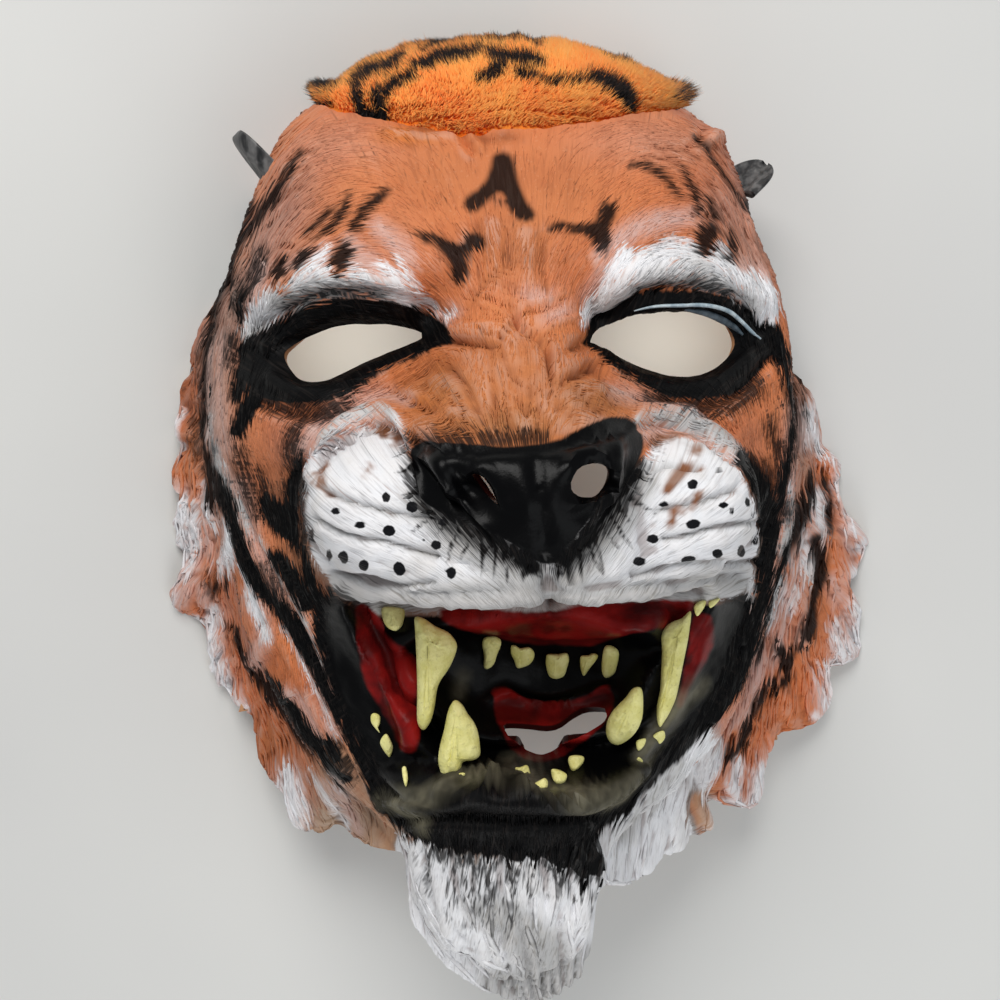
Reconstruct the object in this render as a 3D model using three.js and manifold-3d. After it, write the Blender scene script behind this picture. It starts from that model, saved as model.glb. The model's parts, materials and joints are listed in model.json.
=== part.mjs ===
// A cast latex tiger mask with a plush crown, lying face up on its rear rim.
// Millimetres. +X is the wearer's left, +Y points to the crown, +Z out of the face. Z = 0 is the plane of the rear rim.
import * as THREE from 'three';
import { mergeVertices } from 'three/addons/utils/BufferGeometryUtils.js';
import Module from 'manifold-3d';

const wasm = await Module();
wasm.setup();
const { Manifold, Mesh: SolidMesh } = wasm;

// ---- driving dimensions ----------------------------------------------------
const LATEX = 2.6;             // wall of the cast shell
const GAP = 0.4;               // clearance between the latex and the plush
const PLUSH = 7.5;             // backing cloth and pile together
const PILE_RISE = 4.0;         // how far the plush stands over the latex beside it
const TOP = 118;               // height of the head form over the rear rim
const WALL_SHARE = 0.76;       // share of each meridian on the head form; the rest is the ruff
const FACE_CELLS = 40;         // cells across the shell
const NOSE_TIP = 181;          // height of the nose over the rear rim
const PAD_HEIGHT = 162;        // height of the muzzle pads
const MOUTH_FLOOR = 110;       // height of the bottom of the open mouth
const LOCK_STEP = 12.5;        // degrees between the tips of two locks of the ruff
const LOCK_DEPTH = 0.42;       // how far the notch between two locks cuts into the ruff

const OUTLINE_MIDDLE = [10.8, -10.9];  // middle of the outline, from the point under the nose that the form is drawn round

// Edge of the mask round the head: angle, wall radius, wall height, rim radius, rim height.
const EDGE = [
  [-180, 98, 36, 118, 0], [-160, 99, 38, 130, 0], [-150, 103, 40, 134, 0], [-138, 108, 46, 128, 4], [-123, 116, 60, 145, 22],
  [-113, 119, 74, 145, 46], [-107, 122, 88, 126, 84], [-102, 140, 100, 146, 98], [-96, 153, 103, 161, 100], [-89, 160, 104, 170, 101],
  [-82, 153, 103, 163, 100], [-77, 130, 98, 134, 96], [-71, 121, 84, 146, 74], [-60, 120, 72, 148, 50], [-52, 119, 60, 157, 30],
  [-42, 114, 52, 151, 16], [-35, 111, 44, 165, 4], [-25, 108, 40, 160, 0], [-13, 106, 38, 144, 0], [-2, 103, 36, 129, 0],
  [10, 105, 34, 116, 0], [24, 112, 31, 116, 0], [43, 124, 28, 127, 0], [61, 142, 25, 142, 0], [90, 144, 25, 144, 0],
  [115, 142, 25, 142, 0], [136, 121, 28, 124, 0], [151, 110, 31, 115, 0], [165, 102, 34, 119, 0],
];

// Openings seen from the front: corner to corner, with the rise of the upper and the drop of the lower edge.
const EYES = [
  { inner: [-27.5, 53], outer: [-71, 47], up: 6.5, upSkew: 0.55, down: 10.5, downSkew: 0.66 },
  { inner: [25, 52], outer: [74.5, 48.5], up: 9.5, upSkew: 0.5, down: 10.5, downSkew: 0.58 },
];
const NOSTRILS = [
  { at: [-12.5, 16], size: [4.2, 3.6], turn: -40 },
  { at: [17, 17], size: [5.6, 5.8], turn: 0 },
];
// Torn-out opening at the back of the mouth.
const THROAT = { left: [-3.5, -68], right: [31, -65], up: 2.5, down: 10.5 };
// Front edge of the forehead, where the plush comes out from under the latex: x, y.
const BROW_EDGE = [[-64, 128], [-52, 122.5], [-34, 118.5], [-21, 115.4], [-11, 114], [-4, 116.2], [11, 116.6], [31, 119.5], [53, 123.5], [73, 127]];

// Teeth: root, tip, root width, tip width, how far they stand out.
const FANGS = [
  [[-26, -30], [-29, -69], 13, 5.5, 9], [[54, -30], [47.5, -69], 11.5, 5, 9],
  [[-19, -82], [-15.5, -58], 14, 6, 8], [[34, -80], [38.5, -58], 11.5, 6, 8],
];
const SMALL_TEETH = [
  [[-6, -42], [-6, -54], 6], [[4, -46], [4.2, -57], 6.4], [[15.5, -48], [15.6, -59.5], 6.6], [[25.3, -47], [25.4, -58.5], 5], [[32, -45], [31.8, -57], 5.2],
  [[2, -90], [2.4, -84.5], 4.6], [[7.4, -91], [7, -86], 4.2], [[13.2, -90], [13.2, -84.5], 4.6], [[20, -89], [19.6, -83.5], 5],
  [[-37, -33], [-37.5, -39], 6.5], [[-44, -67], [-42, -73], 4], [[-40.5, -75], [-39, -82], 5], [[47.5, -78], [48.5, -73], 4],
];

const PAINT = {
  latex_face: { color: 0xb5714a, roughness: 0.5, metalness: 0 },
  plush_crown: { color: 0xf08a2c, roughness: 0.95, metalness: 0 },
};

// ---- small helpers ---------------------------------------------------------
const rad = (d) => (d * Math.PI) / 180;
const clamp = (v, a, b) => Math.min(Math.max(v, a), b);
const step = (a, b, v) => { const t = clamp((v - a) / (b - a), 0, 1); return t * t * (3 - 2 * t); };
const mix = (a, b, t) => a + (b - a) * t;
const top = (a, b, k) => { const h = clamp(0.5 + (0.5 * (a - b)) / k, 0, 1); return mix(b, a, h) + k * h * (1 - h); };
const low = (a, b, k) => -top(-a, -b, k);
const bell = (x, y, cx, cy, sx, sy, turn = 0) => {
  const c = Math.cos(rad(turn)), s = Math.sin(rad(turn)), dx = x - cx, dy = y - cy;
  const u = (dx * c + dy * s) / sx, v = (-dx * s + dy * c) / sy;
  return Math.exp(-u * u - v * v);
};

// A periodic curve through a table of [angle, values...], without overshoot.
function ringCurve(table) {
  const n = table.length, k = table[0].length - 1;
  const at = (i) => table[((i % n) + n) % n], turn = (i) => Math.floor(i / n) * 360;
  const slope = (i, j) => (at(i + 1)[j] - at(i)[j]) / (at(i + 1)[0] + turn(i + 1) - at(i)[0] - turn(i));
  const tangent = (i, j) => { const l = slope(i - 1, j), r = slope(i, j); return l * r > 0 ? (2 * l * r) / (l + r) : 0; };
  return (angle) => {
    const a = ((((angle - table[0][0]) % 360) + 360) % 360) + table[0][0];
    let i = n - 1;
    while (i > 0 && table[i][0] > a) i--;
    const x0 = table[i][0], h = at(i + 1)[0] + turn(i + 1) - x0, t = (a - x0) / h, t2 = t * t, t3 = t2 * t, out = [];
    for (let j = 1; j <= k; j++) {
      out.push((2 * t3 - 3 * t2 + 1) * at(i)[j] + (t3 - 2 * t2 + t) * h * tangent(i, j) + (3 * t2 - 2 * t3) * at(i + 1)[j] + (t3 - t2) * h * tangent(i + 1, j));
    }
    return out;
  };
}
const edgeAt = ringCurve(EDGE);
const softEdge = ringCurve(Array.from({ length: 90 }, (_, i) => {
  const a = -180 + 4 * i, sum = [0, 0, 0, 0];
  let weight = 0;
  for (let d = -32; d <= 32; d += 4) {
    const w = Math.exp(-((d / 11) ** 2));
    edgeAt(a + d).forEach((v, j) => { sum[j] += w * v; });
    weight += w;
  }
  return [a, ...sum.map((v) => v / weight)];
}));

// 1 at the tip of a lock of the ruff, 0 between two locks.
function lockAt(angle) {
  const p = (angle + 360) % 360, side = p > 270 ? 540 - p : p < 90 ? 180 - p : p;
  const f = ((((side - 150) / LOCK_STEP) % 1) + 1) % 1;
  return Math.pow(f < 0.62 ? f / 0.62 : (1 - f) / 0.38, 0.8);
}
const ruffAt = (angle) => { const p = (angle + 360) % 360; return step(48, 34, Math.min(Math.abs(p - 200), Math.abs(p - 340))); };

// The head form with its flared edge. s runs from 0 at the snout to 1 at the rim, along the meridian at that angle.
function headForm(s, angle) {
  const sharp = edgeAt(angle), soft = softEdge(angle), k = step(0.42, 0.74, s);
  const wallR = mix(soft[0], sharp[0], k), wallZ = mix(soft[1], sharp[1], k), [, , rimR, rimZ] = sharp;
  const t = (clamp(s / WALL_SHARE, 0, 1) * Math.PI) / 2;
  const w = clamp((s - WALL_SHARE) / (1 - WALL_SHARE), 0, 1);
  const cut = 1 - LOCK_DEPTH * (1 - lockAt(angle)) * ruffAt(angle);
  const r = wallR * Math.pow(Math.sin(t), 0.9) + (rimR - wallR) * Math.pow(w, 1.5) * cut;
  const z = wallZ + (TOP - wallZ) * Math.pow(Math.max(Math.cos(t), 1e-9), 0.85) + (rimZ - wallZ) * w * (1 - (1 - cut) * 0.6);
  return [r * Math.cos(rad(angle)), r * Math.sin(rad(angle)), z];
}

// A rounded lump with an oval foot.
function lump(x, y, cx, cy, ax, ay, turn, foot, height, p, q) {
  const c = Math.cos(rad(turn)), s = Math.sin(rad(turn)), dx = x - cx, dy = y - cy;
  const d = Math.hypot((dx * c + dy * s) / ax, (-dx * s + dy * c) / ay);
  return foot + height * Math.pow(clamp(1 - Math.pow(d, p), 0, 1), q) - 60 * clamp(d - 1, 0, 1.2);
}

// Brow, eye sockets, cheeks, muzzle, nose.
function raiseFace(x, y, z) {
  const side = Math.abs(x);
  let h = 11 * bell(side, y, 46, 72, 31, 11, -14) + 8 * bell(x, y, 0, 80, 17, 24);
  h -= 17 * bell(side, y, 49, 49, 25, 11, 4) + 7 * bell(side, y, 25, 55, 8, 12);
  h += 10 * bell(side, y, 66, 24, 22, 14, -12) - 12 * bell(side, y, 80, -16, 15, 34);
  const ridge = 55 * Math.pow(step(82, 24, y), 1.2) * step(-52, -12, y);
  const width = 18 + 26 * step(66, 6, y) + 10 * step(10, -20, y);
  let out = z + h + ridge / (1 + Math.pow(Math.abs(x - 2) / width, 4)) + 15 * bell(x, y, 4, -62, 58, 44);
  const padLeft = lump(x, y, -30, 2, 36, 26.5, -8, PAD_HEIGHT - 50, 50, 3.2, 0.5);
  const padRight = lump(x, y, 41, 2, 35, 26.5, 7, PAD_HEIGHT - 50, 50, 3.2, 0.5);
  out = top(out, top(padLeft, padRight, 5), 3);
  out = top(out, lump(x, y, 6, -5, 19, 18, 0, 120, 44, 2.3, 0.55), 5);
  out -= 5 * bell(x, y, 6, -14, 3.2, 12);
  const arc = (Math.hypot((side - 36) / 1.25, y) - 31) / 4;
  out += 4 * Math.exp(-arc * arc) * step(8, 20, y) * step(18, 32, side);
  const half = 34 * Math.pow(step(-16, 27, y), 0.75) + 1, off = Math.abs(x - 1 - 0.12 * (18 - y));
  const mask = step(1, 0.72, off / half) * step(36, 28, y) * step(-18, -9, y);
  const face = NOSE_TIP - 0.028 * clamp(y - 12, 0, 60) ** 2 - 0.32 * clamp(12 - y, 0, 40) - 0.006 * off * off;
  out = top(out, 132 + (face - 132) * mask - 90 * step(0.25, 0, mask), 3);
  for (const n of [-1, 1]) out -= 10 * bell(x, y, 2 + 17.5 * n, 15, 8, 5.5, 18 * n);
  return out;
}

// Distance inside the edge of the open mouth.
function insideMouth(x, y) {
  const cx = 6.5 - 0.04 * (y + 20), half = 61 - 30 * Math.pow(clamp((-22 - y) / 62, 0, 1), 1.25);
  const upper = -18 - y - 0.002 * (x - 6) ** 2, lower = y + 82.5 - 0.004 * (x - cx) ** 2;
  return low(low((half - Math.abs(x - cx)) * 0.9, upper, 6), lower, 12);
}

// Chin, beard and lower lip.
function raiseJaw(x, y, z) {
  const cx = -3.5 + 0.13 * clamp(-105 - y, 0, 80), half = 32 - 0.02 * Math.pow(clamp(-100 - y, 0, 80), 1.1);
  const b = step(half + 5, half - 9, Math.abs(x - cx)) * step(-80, -92, y);
  const beard = 138 - 0.4 * clamp(-96 - y, 0, 90) - 0.006 * (x - cx) ** 2;
  const out = z + (Math.max(beard, z) - z) * b;
  return top(out, lump(x, y, 0, -86, 43, 10, 0, 114, 30, 2.2, 0.55) - 0.004 * (x - 2) ** 2, 5);
}

function facePoint(s, angle) {
  const [x, y, z] = headForm(s, angle);
  let f = raiseJaw(x, y, raiseFace(x, y, z));
  const m = insideMouth(x, y);
  f += 2.5 * Math.exp(-(((m + 3) / 3) ** 2)) * step(-30, -45, y);
  const gumUp = 12 * Math.exp(-(((y + 32 + 0.004 * (x - 6) ** 2) / 6) ** 2)) * step(46, 36, Math.abs(x - 6));
  const gumLow = 13 * Math.exp(-(((m - 9) / 4.5) ** 2)) * step(-44, -56, y);
  const floor = MOUTH_FLOOR + 2 - 10 * bell(x, y, 8, -58, 26, 20) + gumUp + gumLow;
  f += (Math.min(floor, f) - f) * step(-3, 6, m);
  return [x, y, z + (f - z) * step(1, 0.72, s / WALL_SHARE)];
}

// Height of the front of the face over a point.
function heightAt(x, y) {
  const angle = (Math.atan2(y, x) * 180) / Math.PI, r = Math.hypot(x, y);
  let a = 0, b = 1;
  for (let i = 0; i < 30; i++) {
    const m = (a + b) / 2, p = headForm(m, angle);
    if (Math.hypot(p[0], p[1]) > r) b = m; else a = m;
  }
  return facePoint((a + b) / 2, angle)[2];
}

// ---- solids ----------------------------------------------------------------
function solidFrom(points, tris) {
  const vertProperties = new Float32Array(points.length * 3);
  points.forEach((p, i) => vertProperties.set(p, 3 * i));
  return new Manifold(new SolidMesh({ numProp: 3, vertProperties, triVerts: new Uint32Array(tris.flat()) }));
}
function solidOf(geometry) {
  const g = geometry.clone();
  g.deleteAttribute('normal');
  g.deleteAttribute('uv');
  const m = mergeVertices(g, 1e-4);
  return new Manifold(new SolidMesh({ numProp: 3, vertProperties: new Float32Array(m.attributes.position.array), triVerts: new Uint32Array(m.index.array) }));
}
function meshOf(solid, name) {
  const m = solid.getMesh(), geometry = new THREE.BufferGeometry();
  geometry.setAttribute('position', new THREE.BufferAttribute(new Float32Array(m.vertProperties), 3));
  geometry.setIndex(new THREE.BufferAttribute(new Uint32Array(m.triVerts), 1));
  geometry.computeVertexNormals();
  const mesh = new THREE.Mesh(geometry, new THREE.MeshStandardMaterial(PAINT[name]));
  mesh.name = name;
  return mesh;
}
// Upright prism over an outline, from one height to another.
function prism(outline, from, to) {
  const shape = new THREE.Shape(outline.map(([x, y]) => new THREE.Vector2(x, y)));
  const g = new THREE.ExtrudeGeometry(shape, { depth: to - from, bevelEnabled: false, steps: 1 });
  g.translate(0, 0, from);
  return solidOf(g);
}

// A sheet with n + 1 by n + 1 points given as a closed solid between its outer and its inner face.
function sheetSolid(outer, inner, rows, cols) {
  const at = (r, c) => r * (cols + 1) + c, count = (rows + 1) * (cols + 1), tris = [];
  for (let r = 0; r < rows; r++) {
    for (let c = 0; c < cols; c++) {
      const a = at(r, c), b = at(r, c + 1), d = at(r + 1, c), e = at(r + 1, c + 1);
      const rising = (r < rows / 2) === (c < cols / 2);
      const pair = rising ? [[a, b, e], [a, e, d]] : [[a, b, d], [b, e, d]];
      pair.forEach(([i, j, k]) => { tris.push([i, j, k], [i + count, k + count, j + count]); });
    }
  }
  const loop = [];
  for (let c = 0; c < cols; c++) loop.push(at(0, c));
  for (let r = 0; r < rows; r++) loop.push(at(r, cols));
  for (let c = cols; c > 0; c--) loop.push(at(rows, c));
  for (let r = rows; r > 0; r--) loop.push(at(r, 0));
  loop.forEach((a, i) => {
    const b = loop[(i + 1) % loop.length];
    tris.push([b, a, a + count], [b, a + count, b + count]);
  });
  return solidFrom([...outer, ...inner], tris);
}

function normalsOf(points, rows, cols) {
  const at = (r, c) => r * (cols + 1) + c, out = points.map(() => new THREE.Vector3());
  const p = points.map((q) => new THREE.Vector3(...q)), u = new THREE.Vector3(), v = new THREE.Vector3();
  for (let r = 0; r < rows; r++) {
    for (let c = 0; c < cols; c++) {
      const q = [at(r, c), at(r, c + 1), at(r + 1, c + 1), at(r + 1, c)];
      u.subVectors(p[q[2]], p[q[0]]);
      v.subVectors(p[q[3]], p[q[1]]);
      const n = new THREE.Vector3().crossVectors(u, v);
      q.forEach((i) => out[i].add(n));
    }
  }
  return out.map((n) => n.normalize());
}

// Points of a square grid laid over a round sheet, closer together in the middle of the face.
function roundGrid(cells) {
  const out = [];
  for (let r = 0; r <= cells; r++) {
    for (let c = 0; c <= cells; c++) {
      const x = (2 * c) / cells - 1, y = (2 * r) / cells - 1;
      const a = x * Math.sqrt(1 - (y * y) / 2), b = y * Math.sqrt(1 - (x * x) / 2), g = Math.min(Math.hypot(a, b), 1);
      out.push([g * (0.72 + 0.28 * Math.pow(g, 2.2)), (Math.atan2(b, a) * 180) / Math.PI, g]);
    }
  }
  return out;
}

// The shell, grown outwards by `grow` and with a wall of LATEX + 2 * grow.
function latexShell(grow) {
  const n = FACE_CELLS, grid = roundGrid(n);
  const front = grid.map(([s, a]) => facePoint(s, a));
  const normals = normalsOf(front, n, n);
  // the rim sits flat where it meets the plane it lies on
  const place = (p, i, d) => {
    const nrm = normals[i], rim = grid[i][2] > 0.9999, r = Math.hypot(p[0], p[1]);
    if (rim && p[2] < 12) return [p[0] * (1 + d / r), p[1] * (1 + d / r), p[2] - 2 * grow];
    const q = [p[0] + d * nrm.x, p[1] + d * nrm.y, p[2] + d * nrm.z];
    return rim ? q : [q[0], q[1], Math.max(q[2], Math.min(d < 0 ? 0.4 : 0.2, p[2]))];
  };
  const outer = front.map((p, i) => place(p, i, grow));
  const inner = front.map((p, i) => place(p, i, -LATEX - grow));
  return sheetSolid(outer, inner, n, n);
}

// Outline of an eye or throat opening.
function almond({ inner, outer, up, down, upSkew = 0.5, downSkew = 0.5 }, steps = 9) {
  const out = [], dx = outer[0] - inner[0], dy = outer[1] - inner[1], len = Math.hypot(dx, dy), sign = dx < 0 ? -1 : 1;
  const nx = (-dy / len) * sign, ny = (dx / len) * sign;
  const arch = (t, skew) => Math.pow(Math.sin(Math.PI * Math.pow(t, Math.log(0.5) / Math.log(skew))), 0.75);
  for (let i = 0; i < steps; i++) { const t = i / steps, h = up * arch(t, upSkew); out.push([inner[0] + dx * t + nx * h, inner[1] + dy * t + ny * h]); }
  for (let i = steps; i > 0; i--) { const t = i / steps, h = -down * arch(t, downSkew); out.push([inner[0] + dx * t + nx * h, inner[1] + dy * t + ny * h]); }
  return out;
}
function oval({ at, size, turn }, steps = 8) {
  return Array.from({ length: steps }, (_, i) => {
    const t = (2 * Math.PI * i) / steps, u = size[0] * Math.cos(t), v = size[1] * Math.sin(t), c = Math.cos(rad(turn)), s = Math.sin(rad(turn));
    return [at[0] + u * c - v * s, at[1] + u * s + v * c];
  });
}
const browOutline = (shrink) => [
  ...BROW_EDGE.map(([x, y], i, all) => [x + (i === 0 ? shrink : i === all.length - 1 ? -shrink : 0), y + shrink]),
  [BROW_EDGE[BROW_EDGE.length - 1][0] - shrink, 175], [BROW_EDGE[0][0] + shrink, 175],
];

// A tooth: rounded sections from root to tip, standing out of the gum.
function tooth([x0, y0], [x1, y1], wide, tip, out, sides, sections) {
  const dx = x1 - x0, dy = y1 - y0, len = Math.hypot(dx, dy), ux = dx / len, uy = dy / len, pts = [], tris = [];
  const z0 = heightAt(x0, y0), z1 = heightAt(x1, y1);
  for (let i = 0; i <= sections; i++) {
    const t = i / sections, w = mix(wide, tip, Math.pow(t, 0.8)) / 2 * (i === sections ? 0.45 : 1);
    const cz = mix(z0, z1, t) + out * 0.15, rise = out * (i === sections ? 0.5 : 1) * 0.85;
    const foot = cz - Math.min(heightAt(x0 + dx * t, y0 + dy * t), cz) + 4.2;
    for (let j = 0; j < sides; j++) {
      const a = (2 * Math.PI * j) / sides, c = Math.cos(a), s = Math.sin(a);
      const bow = i === sections ? 0.6 : 0;
      pts.push([x0 + dx * t - uy * w * c + ux * bow, y0 + dy * t + ux * w * c + uy * bow, cz + (s > 0 ? rise * s : foot * s)]);
    }
  }
  const at = (i, j) => i * sides + (j % sides);
  for (let i = 0; i < sections; i++) for (let j = 0; j < sides; j++) tris.push([at(i, j), at(i, j + 1), at(i + 1, j + 1)], [at(i, j), at(i + 1, j + 1), at(i + 1, j)]);
  for (let j = 1; j < sides - 1; j++) tris.push([at(0, 0), at(0, j + 1), at(0, j)], [at(sections, 0), at(sections, j), at(sections, j + 1)]);
  const solid = solidFrom(pts, tris);
  return solid.volume() < 0 ? solidFrom(pts, tris.map(([a, b, c]) => [a, c, b])) : solid;
}

// An ear: a cupped leaf that leans back off the side of the head.
function ear(base, tip, width, thick, cup, roll) {
  const axis = new THREE.Vector3().subVectors(new THREE.Vector3(...tip), new THREE.Vector3(...base));
  const len = axis.length(), u = axis.clone().normalize(), up = new THREE.Vector3(0, 0, 1);
  const w = new THREE.Vector3().crossVectors(u, up).normalize().applyAxisAngle(u, rad(roll)), f = new THREE.Vector3().crossVectors(w, u).normalize();
  const rows = 5, cols = 4, faces = [[], []];
  for (let r = 0; r <= rows; r++) {
    for (let c = 0; c <= cols; c++) {
      const t = r / rows, q = (2 * c) / cols - 1, half = (width / 2) * Math.sqrt(Math.max(1 - Math.pow(t, 2.6), 0)) + 1.2;
      const bow = cup * q * q * (1 - 0.5 * t);
      faces.forEach((face, k) => {
        const d = (k ? -1 : 1) * thick * 0.5 * (1 - 0.35 * Math.abs(q));
        face.push([0, 1, 2].map((i) => base[i] + u.getComponent(i) * len * t + f.getComponent(i) * half * q + w.getComponent(i) * (bow + d)));
      });
    }
  }
  const solid = sheetSolid(faces[0], faces[1], rows, cols);
  return solid.volume() < 0 ? sheetSolid(faces[1], faces[0], rows, cols) : solid;
}

// ---- the latex face --------------------------------------------------------
let latex = latexShell(0);
for (const e of EYES) latex = latex.subtract(prism(almond(e), 40, 200));
for (const n of NOSTRILS) latex = latex.subtract(prism(oval(n), 120, 200));
latex = latex.subtract(prism(almond({ inner: THROAT.left, outer: THROAT.right, up: THROAT.up, down: THROAT.down }, 6), 60, 200));
latex = latex.subtract(prism(browOutline(0), -20, 200));
for (const [root, end, wide, tip, out] of FANGS) latex = latex.add(tooth(root, end, wide, tip, out, 8, 3));
for (const [root, end, wide] of SMALL_TEETH) latex = latex.add(tooth(root, end, wide, wide * 0.6, 5, 6, 2));
latex = latex.add(ear([-75, 104, 42], [-87, 118, 37], 24, 3.4, 5, 12));
latex = latex.add(ear([85, 96.5, 42], [97, 106, 37], 24, 3.4, -5, 38));

// ---- the plush crown -------------------------------------------------------
// A patch of the head form from under the forehead edge to the rear rim.
const browY = (x) => {
  let i = 0;
  while (i < BROW_EDGE.length - 2 && BROW_EDGE[i + 1][0] < x) i++;
  const [a, b] = [BROW_EDGE[i], BROW_EDGE[i + 1]];
  return mix(a[1], b[1], (x - a[0]) / (b[0] - a[0]));
};
const exposed = (x, y) => Math.min(y - browY(x), x - BROW_EDGE[0][0], BROW_EDGE[BROW_EDGE.length - 1][0] - x);
function crownPatch() {
  const cols = 14, rows = 7, a0 = 119.5, a1 = 57.5, mid = [];
  for (let r = 0; r <= rows; r++) {
    for (let c = 0; c <= cols; c++) {
      const angle = mix(a0, a1, c / cols);
      let lo = 0, hi = 1;
      for (let i = 0; i < 24; i++) {
        const m = (lo + hi) / 2, p = headForm(m, angle);
        if (p[1] > browY(clamp(p[0], -64, 73)) - 9) hi = m; else lo = m;
      }
      mid.push(headForm(mix(Math.min(hi, 0.72), 1, Math.pow(r / rows, 0.9)), angle));
    }
  }
  const normals = normalsOf(mid, rows, cols).map((n) => (n.z < 0 && n.y < 0 ? n.negate() : n));
  const place = (out) => mid.map((p, i) => {
    const lift = mix(-LATEX - GAP - 0.2, PILE_RISE, step(0.5, 5, exposed(p[0], p[1])));
    const d = out ? lift : Math.min(lift, 0) - (PLUSH - PILE_RISE);
    const n = normals[i], rim = i >= rows * (cols + 1);
    return [p[0] + d * n.x, p[1] + d * n.y, rim ? 0 : Math.max(p[2] + d * n.z, 0.3)];
  });
  const solid = sheetSolid(place(true), place(false), rows, cols);
  return solid.volume() < 0 ? sheetSolid(place(false), place(true), rows, cols) : solid;
}
let latexSpace = latexShell(GAP).subtract(prism(browOutline(GAP), -20, 200));
const crown = crownPatch().subtract(latexSpace);

const mask = new THREE.Group();
mask.add(meshOf(latex, 'latex_face'));
mask.add(meshOf(crown, 'plush_crown'));
mask.position.set(-OUTLINE_MIDDLE[0], -OUTLINE_MIDDLE[1], 0);

const group = new THREE.Group();
group.add(mask);

export default group;
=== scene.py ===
import json
import math

import bpy
import numpy as np
from mathutils import Matrix, Vector, kdtree

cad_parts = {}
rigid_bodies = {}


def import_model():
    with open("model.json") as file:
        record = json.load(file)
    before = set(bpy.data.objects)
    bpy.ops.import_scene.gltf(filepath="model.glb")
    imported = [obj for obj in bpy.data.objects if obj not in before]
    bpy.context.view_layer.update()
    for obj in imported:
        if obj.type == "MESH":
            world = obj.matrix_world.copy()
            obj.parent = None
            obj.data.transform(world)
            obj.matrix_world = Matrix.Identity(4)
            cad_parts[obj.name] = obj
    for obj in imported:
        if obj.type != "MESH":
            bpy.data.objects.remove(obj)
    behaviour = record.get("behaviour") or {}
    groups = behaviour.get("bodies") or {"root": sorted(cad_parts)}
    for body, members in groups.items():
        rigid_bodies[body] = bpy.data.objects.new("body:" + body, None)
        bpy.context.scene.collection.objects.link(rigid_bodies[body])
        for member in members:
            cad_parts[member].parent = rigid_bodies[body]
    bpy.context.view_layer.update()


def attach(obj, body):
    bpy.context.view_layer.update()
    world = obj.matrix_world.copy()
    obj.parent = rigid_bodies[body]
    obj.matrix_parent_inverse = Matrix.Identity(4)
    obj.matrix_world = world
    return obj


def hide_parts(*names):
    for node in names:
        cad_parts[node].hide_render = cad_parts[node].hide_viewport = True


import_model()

# Everything below is worked out in millimetres round the point under the nose, as the part is drawn, and
# moved by SHIFT into the row frame at the end.
SHIFT = np.array([-10.8, 10.9, 0.0])
LATEX = 2.6
GAP = 0.4
PLUSH = 7.5
PILE_RISE = 4.0
TOP = 118.0
WALL_SHARE = 0.76
LOCK_STEP = 12.5
LOCK_DEPTH = 0.42
CELLS = 276
SHELL_TRIS = 190000
PILE_BLADES = 37000
HAIRS = 23000

EDGE = np.array([
    [-180, 98, 36, 118, 0], [-160, 99, 38, 130, 0], [-150, 103, 40, 134, 0], [-138, 108, 46, 128, 4], [-123, 116, 60, 145, 22],
    [-113, 119, 74, 145, 46], [-107, 122, 88, 126, 84], [-102, 140, 100, 146, 98], [-96, 153, 103, 161, 100], [-89, 160, 104, 170, 101],
    [-82, 153, 103, 163, 100], [-77, 130, 98, 134, 96], [-71, 121, 84, 146, 74], [-60, 120, 72, 148, 50], [-52, 119, 60, 157, 30],
    [-42, 114, 52, 151, 16], [-35, 111, 44, 165, 4], [-25, 108, 40, 160, 0], [-13, 106, 38, 144, 0], [-2, 103, 36, 129, 0],
    [10, 105, 34, 116, 0], [24, 112, 31, 116, 0], [43, 124, 28, 127, 0], [61, 142, 25, 142, 0], [90, 144, 25, 144, 0],
    [115, 142, 25, 142, 0], [136, 121, 28, 124, 0], [151, 110, 31, 115, 0], [165, 102, 34, 119, 0]], float)
BROW_EDGE = np.array([[-64, 128], [-52, 122.5], [-34, 118.5], [-21, 115.4], [-11, 114], [-4, 116.2], [11, 116.6], [31, 119.5], [53, 123.5], [73, 127]], float)
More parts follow.
